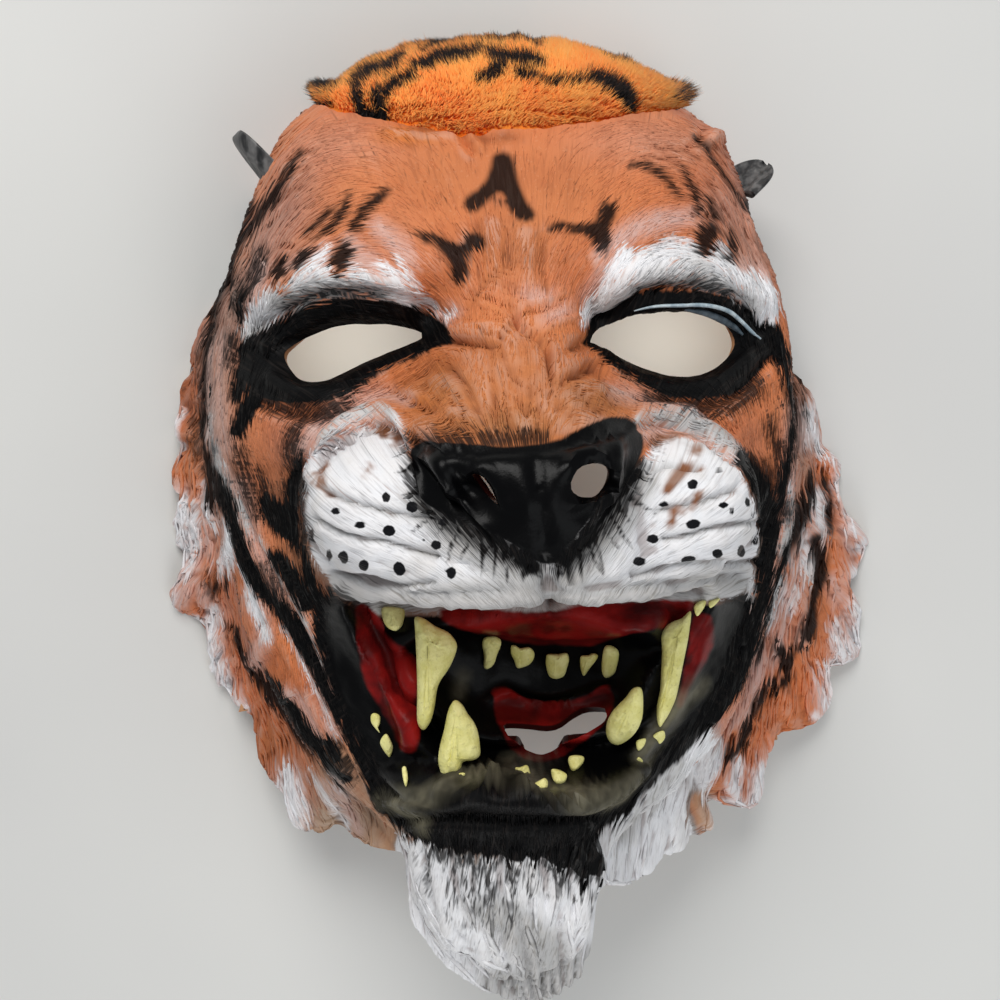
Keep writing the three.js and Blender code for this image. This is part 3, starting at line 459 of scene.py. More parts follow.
def fringe(edge, away, steps, reach, seed):
    """Short strokes of black that start on a line and fan away from a point, longest at the middle of the line."""
    edge, out = np.array(edge, float), []
    along = np.linspace(0, len(edge) - 1, steps)
    for k, t in enumerate(along):
        root = np.array([np.interp(t, range(len(edge)), edge[:, i]) for i in (0, 1)])
        aim = root - np.array(away, float)
        aim /= np.hypot(*aim)
        wag = 0.25 * math.sin(k * 2.4 + seed)
        aim = aim + wag * np.array([-aim[1], aim[0]])
        far = reach * (0.45 + 0.55 * math.sin(math.pi * (k + 0.5) / steps)) * (0.7 + 0.3 * math.sin(k * 4.1 + seed * 2))
        out.append([tuple(root - aim * 8) + (5.2,), tuple(root + aim * 5) + (3.2,), tuple(root + aim * far * 0.5) + (1.9,), tuple(root + aim * far) + (0.1,)])
    return out


BLACK_STROKES += fringe([(416, 470), (424, 492), (444, 512), (468, 528), (492, 544), (516, 558), (536, 568)], (508, 440), 21, 44, 1.0)
BLACK_STROKES += fringe([(636, 470), (624, 492), (606, 512), (592, 534), (576, 553), (560, 567)], (560, 440), 19, 48, 2.0)
SOFT_BLACK = [
    [(308, 408, 9), (336, 404, 8)], [(284, 310, 1), (310, 300, 2), (345, 296, 2), (385, 297, 1)], [(632, 296, 1), (660, 289, 2), (700, 287, 2), (730, 294, 1)],
    [(414, 468, 6), (422, 492, 10), (440, 509, 14), (464, 524, 15), (490, 540, 13), (514, 554, 10), (540, 567, 6)], [(638, 466, 5), (624, 486, 11), (606, 509, 15), (590, 532, 16), (574, 553, 12), (558, 569, 6)],
    [(415, 440, 4), (408, 452, 4)], [(300, 420, 4), (292, 440, 6), (292, 462, 8)], [(430, 850, 2), (470, 858, 4), (480, 868, 3), (500, 862, 2)], [(540, 862, 2), (570, 872, 4), (592, 876, 2)],
    [(236, 335, 3), (232, 360, 3)], [(330, 745, 8), (345, 770, 9)],
    [(770, 420, 2), (776, 445, 3), (782, 470, 4)], [(258, 470, 3), (262, 488, 5)], [(436, 440, 6), (480, 440, 5), (540, 438, 6)], [(500, 176, 4), (488, 196, 1), (520, 204, 1)], [(452, 254, 2)], [(600, 236, 2)],
    [(346, 258, 2)], [(702, 239, 3)], [(726, 244, 1)], [(285, 266, 2)], [(262, 566, 4), (280, 590, 4)],
    # the last three strokes below, thin ones down the left ruff's inner side, are painted shade between its locks
    [(262, 400, 7), (290, 406, 9), (320, 409, 10), (345, 401, 7)], [(650, 397, 7), (690, 403, 10), (725, 401, 10), (752, 385, 9)], [(207, 345, 1), (206, 375, 2), (205, 398, 2)], [(199, 410, 3), (197, 432, 4), (203, 456, 2)], [(213, 440, 2), (213, 470, 3)],
    [(222, 480, 5), (230, 502, 5)], [(213, 575, 3), (212, 592, 3)], [(232, 625, 2), (240, 640, 2)], [(240, 446, 1), (246, 480, 2), (256, 510, 2)], [(262, 250, 5), (255, 275, 6), (245, 300, 6)],
    [(300, 470, 6), (290, 500, 8), (300, 540, 8)], [(745, 455, 6), (765, 470, 8), (780, 510, 8)], [(786, 385, 3), (792, 420, 2), (788, 455, 2)], [(340, 600, 8), (360, 610, 5)],
]
BEARD_STREAKS = [
    [(462, 866, 5), (470, 888, 4), (466, 898, 2)], [(484, 866, 5), (484, 890, 5), (478, 906, 3)], [(512, 858, 5), (511, 890, 3)], [(430, 858, 5), (428, 880, 3), (427, 892, 1)], [(450, 858, 5), (455, 888, 3), (450, 912, 1)],
    [(473, 864, 4), (477, 900, 2), (468, 924, 1)], [(496, 864, 5), (493, 902, 3), (488, 918, 1)], [(505, 862, 4), (512, 900, 3), (505, 936, 1)], [(540, 866, 4), (548, 892, 1)], [(566, 874, 4), (570, 898, 1)], [(590, 878, 4), (590, 900, 1)], [(525, 862, 4), (530, 884, 2)]]
WHITE_STROKES = [
    [(248, 332, 8), (258, 318, 12), (270, 306, 12), (280, 296, 10)], [(262, 312, 8), (282, 304, 8), (296, 302, 5)], [(298, 286, 5), (312, 272, 6), (324, 256, 6), (330, 246, 3)], [(304, 292, 6), (326, 282, 9), (350, 286, 8), (368, 284, 8)], [(356, 262, 3), (366, 276, 6), (386, 288, 8), (404, 298, 6), (416, 310, 3)],
    [(384, 262, 3), (394, 276, 6), (406, 292, 6), (420, 308, 4)], [(400, 256, 2), (410, 276, 3), (424, 296, 4), (438, 314, 3)], [(446, 322, 3), (452, 314, 3)],
    [(583, 324, 5), (592, 308, 7), (604, 292, 7), (612, 276, 4), (618, 262, 2)], [(598, 312, 6), (612, 294, 8), (626, 276, 8), (642, 262, 8), (654, 252, 5)], [(614, 300, 6), (634, 286, 8), (654, 270, 10), (672, 254, 9), (690, 246, 6)], [(648, 282, 6), (676, 272, 9), (700, 268, 9), (714, 252, 6), (720, 242, 4)],
    [(700, 286, 7), (718, 284, 10), (728, 276, 9), (732, 268, 5)], [(738, 270, 5), (750, 276, 8), (762, 290, 9), (769, 306, 8), (768, 320, 5)], [(724, 290, 7), (742, 294, 8), (756, 304, 9), (764, 316, 6)],
    [(312, 462, 5), (322, 443, 5), (345, 422, 5), (372, 410, 5), (392, 416, 5), (404, 433, 4), (411, 450, 3)], [(636, 419, 4), (660, 418, 5), (685, 421, 6), (712, 434, 6), (741, 457, 4)],
    [(214, 404, 1), (212, 430, 2.4)], [(216, 434, 2), (220, 452, 4), (226, 474, 4), (233, 494, 3)], [(238, 494, 2), (245, 510, 3), (251, 530, 2)], [(206, 490, 2), (208, 506, 4), (213, 516, 2)], [(245, 560, 4), (252, 590, 6), (262, 618, 6), (270, 636, 4)],
    [(285, 622, 3), (300, 650, 2), (312, 680, 1.5), (323, 705, 1), (338, 737, 0)], [(262, 535, 1), (280, 570, 1.5), (300, 605, 1.5), (315, 640, 1.5), (327, 674, 0)],
    [(189, 504, 8), (191, 525, 9), (192, 545, 8)], [(205, 485, 4), (208, 505, 6), (213, 518, 3)], [(228, 515, 3), (233, 540, 8), (224, 562, 6)], [(183, 500, 7), (178, 522, 11), (184, 546, 9), (192, 566, 6)], [(176, 590, 3), (174, 602, 4)],
    [(214, 610, 6), (212, 640, 9), (218, 670, 10), (230, 692, 8)], [(234, 700, 6), (244, 708, 5)], [(288, 762, 7), (292, 785, 11), (297, 810, 10), (304, 826, 5)], [(308, 765, 2.6), (320, 785, 3), (332, 804, 3), (346, 822, 5)], [(330, 770, 1.6), (340, 790, 1.6)],
    [(808, 400, 4), (812, 430, 7), (819, 452, 5)], [(812, 490, 7), (818, 512, 8), (823, 532, 5)], [(806, 560, 7), (812, 578, 4)], [(850, 525, 6), (866, 534, 8), (860, 548, 7)],
    [(856, 570, 6), (857, 600, 8), (858, 630, 8), (850, 655, 7)], [(834, 622, 5), (838, 645, 8), (850, 672, 8)], [(828, 667, 5), (832, 690, 8), (838, 704, 6)], [(853, 682, 5), (858, 688, 5)], [(815, 716, 5), (828, 724, 4)], [(840, 500, 3), (848, 520, 4)],
    [(740, 758, 5), (733, 782, 8), (738, 801, 4)], [(760, 766, 6), (757, 785, 7), (752, 801, 4)], [(795, 585, 4), (790, 610, 4)], [(780, 575, 5), (775, 600, 5), (767, 617, 4)],
    [(749, 570, 5), (748, 600, 6), (741, 630, 5), (730, 665, 4)], [(785, 540, 5), (788, 560, 4)], [(720, 742, 6), (708, 765, 8), (700, 785, 6)], [(796, 505, 3), (790, 520, 4), (781, 550, 4)],
    [(786, 480, 2), (788, 500, 3), (784, 524, 2)], [(812, 402, 2), (818, 436, 3), (820, 452, 2)], [(800, 524, 3), (806, 545, 4), (812, 572, 4)],
]
PAD_BAND = [WHITE_STROKES[15], WHITE_STROKES[16]]
WHITE_AREAS = [
    [(308, 472), (318, 450), (340, 436), (362, 426), (380, 424), (394, 431), (404, 446), (413, 470), (420, 498), (440, 510), (470, 524), (510, 542), (549, 568), (574, 541), (592, 516), (610, 495), (632, 474), (645, 455), (650, 442), (668, 436), (700, 440), (722, 452), (740, 470), (752, 492), (758, 515), (759, 540), (755, 565), (746, 584), (730, 598), (690, 602), (640, 606), (600, 610), (548, 613), (500, 613), (450, 615), (400, 615), (370, 611), (350, 602), (334, 588), (318, 566), (308, 545), (304, 520), (305, 495)],
    [(403, 836), (404, 880), (412, 930), (432, 962), (460, 985), (500, 1012), (592, 1012), (606, 950), (612, 900), (650, 890), (672, 862), (690, 850), (692, 828), (684, 806), (690, 790), (706, 770), (716, 745), (712, 724), (700, 718), (680, 742), (656, 772), (636, 798), (612, 818), (599, 835), (599, 868), (565, 860), (535, 854), (500, 857), (470, 852), (445, 848)],
]
BROW_WHITE = [
    [(246, 338), (252, 322), (262, 300), (274, 286), (292, 292), (300, 278), (312, 266), (322, 248), (334, 250), (338, 270), (352, 284), (360, 266), (372, 276), (392, 282), (404, 292), (418, 308), (440, 322), (448, 328), (420, 312), (390, 303), (340, 303), (300, 310), (270, 325), (252, 342)],
    [(583, 326), (590, 305), (600, 286), (608, 262), (622, 246), (644, 250), (660, 238), (684, 236), (694, 258), (712, 252), (722, 240), (730, 262), (742, 268), (758, 276), (770, 292), (774, 318), (764, 330), (748, 312), (728, 298), (700, 293), (660, 292), (630, 300), (606, 316), (592, 330)],
]
RED_AREAS = [
    [(440, 612), (480, 610), (530, 612), (600, 606), (690, 600), (686, 616), (660, 629), (630, 631), (614, 636), (600, 642), (560, 645), (520, 642), (490, 634), (450, 624)],
    [(358, 603), (375, 612), (385, 625), (400, 640), (412, 655), (417, 680), (416, 720), (416, 745), (410, 752), (402, 750), (395, 742), (385, 720), (375, 700), (365, 680), (359, 655), (356, 630)],
    [(692, 620), (700, 614), (712, 618), (712, 645), (702, 670), (690, 690), (683, 704), (677, 706), (680, 690), (685, 665), (690, 640)],
    [(492, 694), (500, 688), (510, 691), (520, 699), (535, 704), (555, 706), (575, 704), (592, 697), (603, 687), (613, 688), (614, 702), (608, 716), (600, 727), (580, 742), (556, 760), (532, 763), (512, 750), (502, 732), (496, 712)],
]
TAN_AREAS = [[(322, 752), (345, 745), (362, 765), (382, 805), (402, 832), (404, 868), (372, 850), (345, 828), (325, 800)], [(308, 806), (335, 795), (352, 830), (318, 840), (300, 828)], [(690, 786), (708, 788), (716, 830), (700, 836)]]
# grey over the lower lip's roll, the jaw and a few spots in the mouth: dry-brushed paint, and a painted highlight along
# the roll's top
CHIN_GREY = [[(390, 796, 8), (408, 801, 9), (428, 798, 8), (447, 787, 7), (470, 779, 5), (500, 775, 4), (528, 783, 5), (556, 792, 6), (590, 797, 7), (618, 792, 5), (632, 780, 3)], [(505, 762, 2), (540, 765, 2)], [(700, 684, 6), (675, 706, 7), (655, 738, 6), (640, 762, 4)], [(462, 676, 4), (458, 692, 3)], [(408, 806, 7), (420, 822, 5)]]
# where the white is greyed: grey paint thinned into it, and painted shade under the brows, along the pads' lower rims
# and over the lower beard: u, v, radius
DULL_AND_SHADE = [
    [(330, 580, 6), (360, 594, 9), (400, 600, 9), (440, 598, 8)], [(600, 600, 6), (640, 596, 9), (690, 588, 10), (740, 578, 7)],
    [(284, 300, 6), (300, 296, 9), (330, 291, 9), (360, 290, 8), (390, 296, 6)], [(604, 306, 5), (640, 288, 8), (680, 283, 8), (712, 286, 6), (736, 294, 2)],
    [(286, 286, 8), (300, 300, 14), (330, 296, 14), (352, 296, 12), (376, 296, 8)], [(246, 340, 8), (256, 330, 8)], [(602, 312, 6), (640, 290, 9), (680, 284, 9), (712, 286, 8), (742, 300, 6)],
    [(325, 590, 8), (352, 604, 8), (400, 610, 8), (450, 610, 8), (500, 608, 9), (548, 606, 12), (600, 606, 8), (650, 602, 8), (700, 596, 8), (740, 584, 8)],
    [(680, 765, 4), (650, 800, 4), (620, 835, 4)], [(470, 905, 5), (510, 918, 17), (540, 950, 23)], [(500, 985, 21), (560, 985, 26), (600, 950, 12)], [(420, 505, 12), (455, 530, 16), (500, 560, 20), (540, 590, 18)], [(360, 604, 6), (420, 602, 12), (480, 598, 16), (540, 600, 16), (600, 600, 16), (660, 594, 12), (720, 588, 8)],
    [(640, 480, 14), (620, 510, 18), (596, 545, 18), (570, 580, 14)], [(214, 400, 8), (222, 458, 12), (243, 505, 12), (252, 532, 10)], [(262, 535, 6), (300, 605, 8), (327, 674, 6)], [(790, 500, 8), (775, 570, 9), (752, 620, 8), (740, 660, 7)], [(320, 430, 10), (350, 412, 8), (390, 410, 8)], [(640, 420, 8), (700, 424, 8), (738, 450, 6)]]
DOTS = [
    (386, 497, 4.4, 5.6), (412, 507, 6, 6), (335, 511, 5.2, 3.6), (360, 525, 6, 3.6), (389, 531, 6.6, 6), (436, 545, 6, 4.6), (441, 522, 5.5, 3.2), (343, 558, 5, 7), (364, 565, 5, 6), (399, 569, 6, 7), (451, 573, 5, 6), (311, 535, 2.5, 5.6), (329, 555, 2.4, 6), (422, 540, 2, 2), (445, 569, 3, 2),
    (693, 484, 5.6, 4.6), (719, 470, 5.4, 2.8), (664, 504, 5.6, 3.2), (724, 505, 5, 3.4), (732, 511, 2.2, 4), (748, 502, 2.8, 5), (693, 524, 8, 5), (653, 539, 6, 4.6), (641, 561, 7, 4.6), (689, 561, 8, 5.4), (718, 554, 5, 5), (741, 551, 4.6, 6), (755, 540, 2.4, 5), (753, 514, 1.8, 2.4)]
# pale rose overspray
HAZE = [
    [(776, 556, 2), (766, 600, 3), (752, 642, 3)], [(792, 572, 2), (782, 620, 3), (768, 658, 2)], [(806, 600, 1), (800, 640, 2)], [(186, 500, 6), (182, 530, 8), (190, 552, 6)], [(196, 580, 4), (206, 600, 4)], [(820, 690, 6), (826, 712, 6)],
    [(645, 431, 6), (670, 431, 7), (700, 437, 8), (732, 458, 7)], [(326, 450, 6), (348, 433, 7), (380, 425, 7), (402, 440, 6)],
    [(216, 340, 1), (213, 400, 2), (220, 460, 2.5), (236, 515, 2.5)], [(226, 335, 0.6), (223, 390, 1.2), (229, 445, 1.4)], [(246, 515, 1.5), (268, 570, 2), (298, 628, 2), (322, 680, 1)], [(789, 400, 0.6), (786, 470, 1.6), (776, 540, 1.6), (760, 600, 1.2)],
    [(352, 240, 4), (372, 262, 8), (392, 284, 8), (415, 305, 4)], [(380, 225, 5), (400, 245, 7), (412, 265, 5)], [(447, 322, 3), (455, 312, 2)], [(262, 262, 5), (262, 296, 6), (254, 320, 6)], [(300, 262, 6), (330, 250, 6)],
    [(600, 256, 5), (625, 236, 8), (655, 222, 8), (690, 216, 4)], [(548, 318, 3), (565, 312, 4)], [(525, 296, 2), (550, 297, 2)], [(738, 262, 6), (756, 272, 5)], [(590, 300, 6), (606, 270, 6)],
    [(302, 446, 5), (322, 424, 6), (350, 402, 6), (380, 391, 5), (404, 396, 3)], [(612, 388, 4), (640, 398, 4), (668, 412, 4), (700, 416, 3)],
    [(182, 490, 5), (182, 512, 7), (180, 540, 7), (190, 560, 5)], [(196, 560, 5), (186, 585, 7), (180, 602, 5)], [(216, 610, 6), (214, 640, 8), (220, 670, 8), (238, 704, 6)], [(252, 590, 5), (266, 625, 6), (256, 655, 5)], [(300, 610, 3), (312, 650, 4), (324, 690, 4), (334, 730, 3)],
    [(230, 518, 4), (233, 545, 6), (226, 560, 4)], [(205, 520, 5), (205, 550, 5)], [(288, 690, 4), (304, 702, 5), (318, 735, 3)], [(286, 768, 6), (294, 795, 9), (305, 822, 6)], [(330, 775, 4), (345, 800, 4), (360, 830, 4)], [(240, 480, 2), (248, 510, 3), (258, 545, 3), (285, 590, 3)],
    [(816, 392, 3), (816, 420, 3)], [(838, 490, 3), (845, 515, 5), (850, 545, 4)], [(850, 565, 6), (856, 600, 8), (854, 640, 7)], [(840, 600, 4), (832, 580, 3)], [(784, 590, 5), (780, 630, 5), (770, 660, 6)], [(760, 640, 4), (752, 690, 5), (735, 718, 5)], [(812, 530, 4), (814, 550, 3)], [(798, 520, 4), (803, 560, 6), (800, 590, 4)], [(790, 470, 3), (786, 510, 4), (778, 550, 4), (768, 590, 4), (756, 630, 4)], [(800, 400, 2), (802, 440, 3)],
    [(736, 760, 4), (732, 785, 5), (738, 800, 3)], [(760, 768, 4), (754, 796, 4)], [(840, 650, 4), (852, 680, 5)], [(828, 670, 4), (836, 700, 4)], [(720, 720, 4), (712, 745, 4)],
]
# thin coats over the base colour: paint, strength, middle, reach, turn in degrees
COATS = [
    ("rose", 0.35, 752, 436, 20, 24, 0), ("gold", 0.7, 440, 175, 75, 40, 0), ("gold", 0.5, 565, 190, 55, 45, 0), ("rose", 0.9, 655, 140, 75, 26, 0), ("rose", 0.8, 345, 142, 55, 26, 0), ("rose", 0.3, 396, 234, 34, 26, 40), ("mauve", 0.8, 290, 205, 36, 60, 20), ("mauve", 0.95, 258, 255, 24, 50, 10),
    ("clay", 0.9, 515, 250, 44, 36, 0), ("rose", 0.35, 528, 291, 40, 9, 0), ("clay", 0.8, 528, 385, 50, 34, 0), ("ochre", 1.0, 500, 424, 85, 16, 0), ("ochre", 0.8, 600, 400, 42, 20, 10), ("ochre", 0.6, 450, 388, 30, 16, 30), ("ochre", 0.6, 575, 392, 14, 14, 0),
    # umber coats are painted shade: the two here darken the cheek beside the left pad
    ("mauve", 0.7, 728, 205, 34, 36, 0), ("mauve", 0.9, 752, 255, 18, 44, -10), ("umber_shade", 0.7, 280, 490, 22, 26, 0), ("umber_shade", 0.8, 300, 560, 26, 36, 0), ("smoke", 0.95, 222, 400, 20, 105, 0), ("smoke", 0.8, 240, 300, 14, 60, 15), ("smoke", 0.8, 238, 500, 18, 40, -20), ("smoke", 0.9, 800, 430, 14, 80, 0),
    # painted shade again: the umber coat at 196, 440 between the left ruff's locks, and the two rust-brown coats at
    # 432, 129 and 505, 137 under the plush's edge; the one at 188, 372 is the ruff's own colour
    ("ember", 0.8, 833, 462, 14, 20, 0), ("ember", 0.7, 840, 560, 14, 44, 0), ("ember", 0.8, 806, 690, 36, 34, 0), ("buff", 0.9, 345, 792, 42, 50, -30), ("clay", 0.7, 268, 738, 26, 26, 0), ("umber_shade", 0.5, 196, 440, 12, 20, 0), ("rust_brown_and_shade", 0.6, 188, 372, 16, 34, 0), ("flap", 0.9, 410, 136, 34, 9, 0), ("rust_brown_and_shade", 0.9, 432, 129, 26, 6, -6), ("rust_brown_and_shade", 0.8, 505, 137, 14, 5, 0),
]
WEAR = [[(698, 448, 5), (690, 460, 6), (682, 470, 6), (674, 480, 5), (667, 490, 4)], [(700, 495, 4), (690, 505, 6), (675, 513, 5)], [(640, 530, 4), (650, 526, 3)], [(670, 524, 4), (674, 520, 3)], [(652, 440, 4), (670, 435, 4), (692, 437, 4)], [(702, 466, 2.4)], [(370, 466, 3), (364, 474, 2.6)], [(324, 492, 2.6), (334, 494, 2.6), (343, 499, 3)], [(380, 428, 6), (394, 440, 6)], [(318, 480, 8), (322, 466, 6)]]
# the pale bead along the right lid's crest: pale paint, and a painted highlight there: u, v, half width
LID_PALE_HIGHLIGHT = [(634, 311, 0.7), (646, 308, 1.3), (660, 306, 1.7), (680, 305.5, 2.0), (700, 305, 2.2), (716, 307, 2.3), (730, 312, 2.4), (742, 322, 2.2), (752, 332, 1.9), (761, 339, 0.9)]
LID_SLATE = [(682, 309, 0.9), (694, 311, 2.4), (708, 314, 3.4), (722, 320, 3.8), (734, 327, 3.2), (743, 335, 1.4)]
MOUTH_AREA = [(336, 604), (330, 640), (338, 690), (372, 750), (400, 792), (440, 800), (490, 790), (540, 800), (600, 796), (650, 755), (705, 700), (730, 640), (738, 602), (640, 610), (548, 617), (440, 618)]
NOSE_AREA = BLACK_AREAS[4]
# the lie of the coat: u, v, then which way the hair runs
LIE = [
    (500, 200, 0, -1), (440, 200, -0.35, -0.9), (400, 170, -0.7, -0.7), (350, 150, -0.9, -0.3), (310, 170, -0.9, 0.25), (275, 215, -0.75, 0.6), (250, 270, -0.5, 0.85), (560, 200, 0.35, -0.9), (610, 170, 0.7, -0.6), (670, 150, 0.95, -0.2), (712, 175, 0.85, 0.4), (745, 230, 0.6, 0.8), (775, 300, 0.3, 0.95), (800, 360, 0.1, 1),
    (430, 305, -0.75, -0.65), (405, 270, -0.75, -0.6), (380, 240, -0.8, -0.5), (375, 290, -0.95, 0.0), (340, 285, -0.95, 0.2), (300, 292, -0.9, 0.35), (262, 315, -0.7, 0.7), (320, 230, -0.9, 0.3), (360, 205, -0.9, 0.2), (290, 250, -0.8, 0.5),
    (588, 315, 0.45, -0.9), (615, 290, 0.6, -0.8), (640, 265, 0.65, -0.75), (670, 255, 0.75, -0.6), (700, 262, 0.9, -0.3), (735, 278, 0.85, 0.3), (760, 305, 0.5, 0.85), (620, 240, 0.4, -0.9), (670, 210, 0.85, -0.4), (720, 220, 0.7, 0.6),
    (470, 265, -0.4, -0.9), (545, 265, 0.4, -0.9), (450, 230, -0.6, -0.8), (590, 235, 0.7, -0.7), (510, 290, 0, -1),
    (270, 440, -0.6, 0.8), (300, 520, -0.4, 0.9), (255, 400, -0.5, 0.85), (285, 415, -0.7, 0.7), (320, 560, -0.2, 1), (760, 430, 0.65, 0.75), (740, 415, 0.75, 0.65), (780, 480, 0.2, 1), (765, 540, -0.1, 1), (340, 397, -0.9, 0.4), (380, 385, -0.85, 0.5), (700, 405, 0.95, 0.3), (650, 398, 0.95, 0.2),
    (510, 380, 0.05, -1), (530, 400, 0.05, -1), (480, 390, -0.3, -0.9), (440, 400, -0.85, 0.35), (560, 385, 0.3, -0.9), (600, 400, 0.85, 0.2), (430, 430, -0.8, 0.5), (520, 435, 0, -1),
    (380, 450, -0.7, 0.55), (345, 455, -0.6, 0.8), (325, 490, -0.45, 0.9), (405, 470, -0.9, 0.3), (400, 500, -0.95, 0.25), (360, 520, -0.95, 0.2), (400, 545, -1, 0.1), (340, 560, -0.8, 0.4), (450, 550, -0.8, 0.6), (500, 565, -0.6, 0.8), (460, 595, -0.5, 0.85), (400, 600, -0.4, 0.9), (350, 590, -0.5, 0.85), (540, 585, -0.1, 1),
    (660, 450, 1, 0.1), (640, 480, 0.9, 0.35), (615, 510, 0.85, 0.5), (590, 550, 0.6, 0.8), (620, 580, 0.65, 0.75), (560, 588, 0.15, 1), (700, 470, 0.9, 0.35), (735, 500, 0.6, 0.8), (700, 520, 1, -0.05), (680, 550, 1, 0), (740, 550, 0.7, 0.4), (700, 590, 0.5, 0.85), (650, 590, 0.5, 0.85), (740, 580, 0.4, 0.9),
    (680, 760, -0.35, 0.95), (660, 800, -0.2, 1), (630, 850, -0.05, 1), (612, 870, 0, 1), (720, 740, -0.35, 0.95), (700, 770, -0.3, 0.95), (350, 790, 0.5, 0.85), (330, 760, 0.4, 0.9), (380, 820, 0.6, 0.8),
    (410, 880, 0.08, 1), (425, 930, 0.35, 0.94), (450, 900, 0.15, 1), (450, 950, 0.6, 0.8), (490, 900, -0.15, 1), (500, 960, 0.6, 0.8), (530, 900, 0.0, 1), (540, 960, 0.4, 0.9), (570, 900, 0.1, 1), (590, 930, 0, 1), (580, 980, 0.1, 1), (450, 840, 0, 1), (550, 840, 0, 1),
    (190, 380, -0.6, 0.8), (200, 440, -0.6, 0.8), (188, 470, -0.5, 0.85), (190, 530, -0.4, 0.9), (185, 590, -0.6, 0.8), (225, 650, -0.4, 0.9), (235, 690, -0.2, 1), (270, 740, 0.25, 0.97), (295, 800, 0.15, 1),
    (835, 465, 0.6, 0.8), (845, 530, 0.6, 0.8), (845, 600, 0.4, 0.9), (845, 660, 0.5, 0.85), (830, 690, 0.25, 0.97), (810, 700, 0.1, 1), (770, 720, -0.3, 0.95), (745, 770, -0.2, 1)]

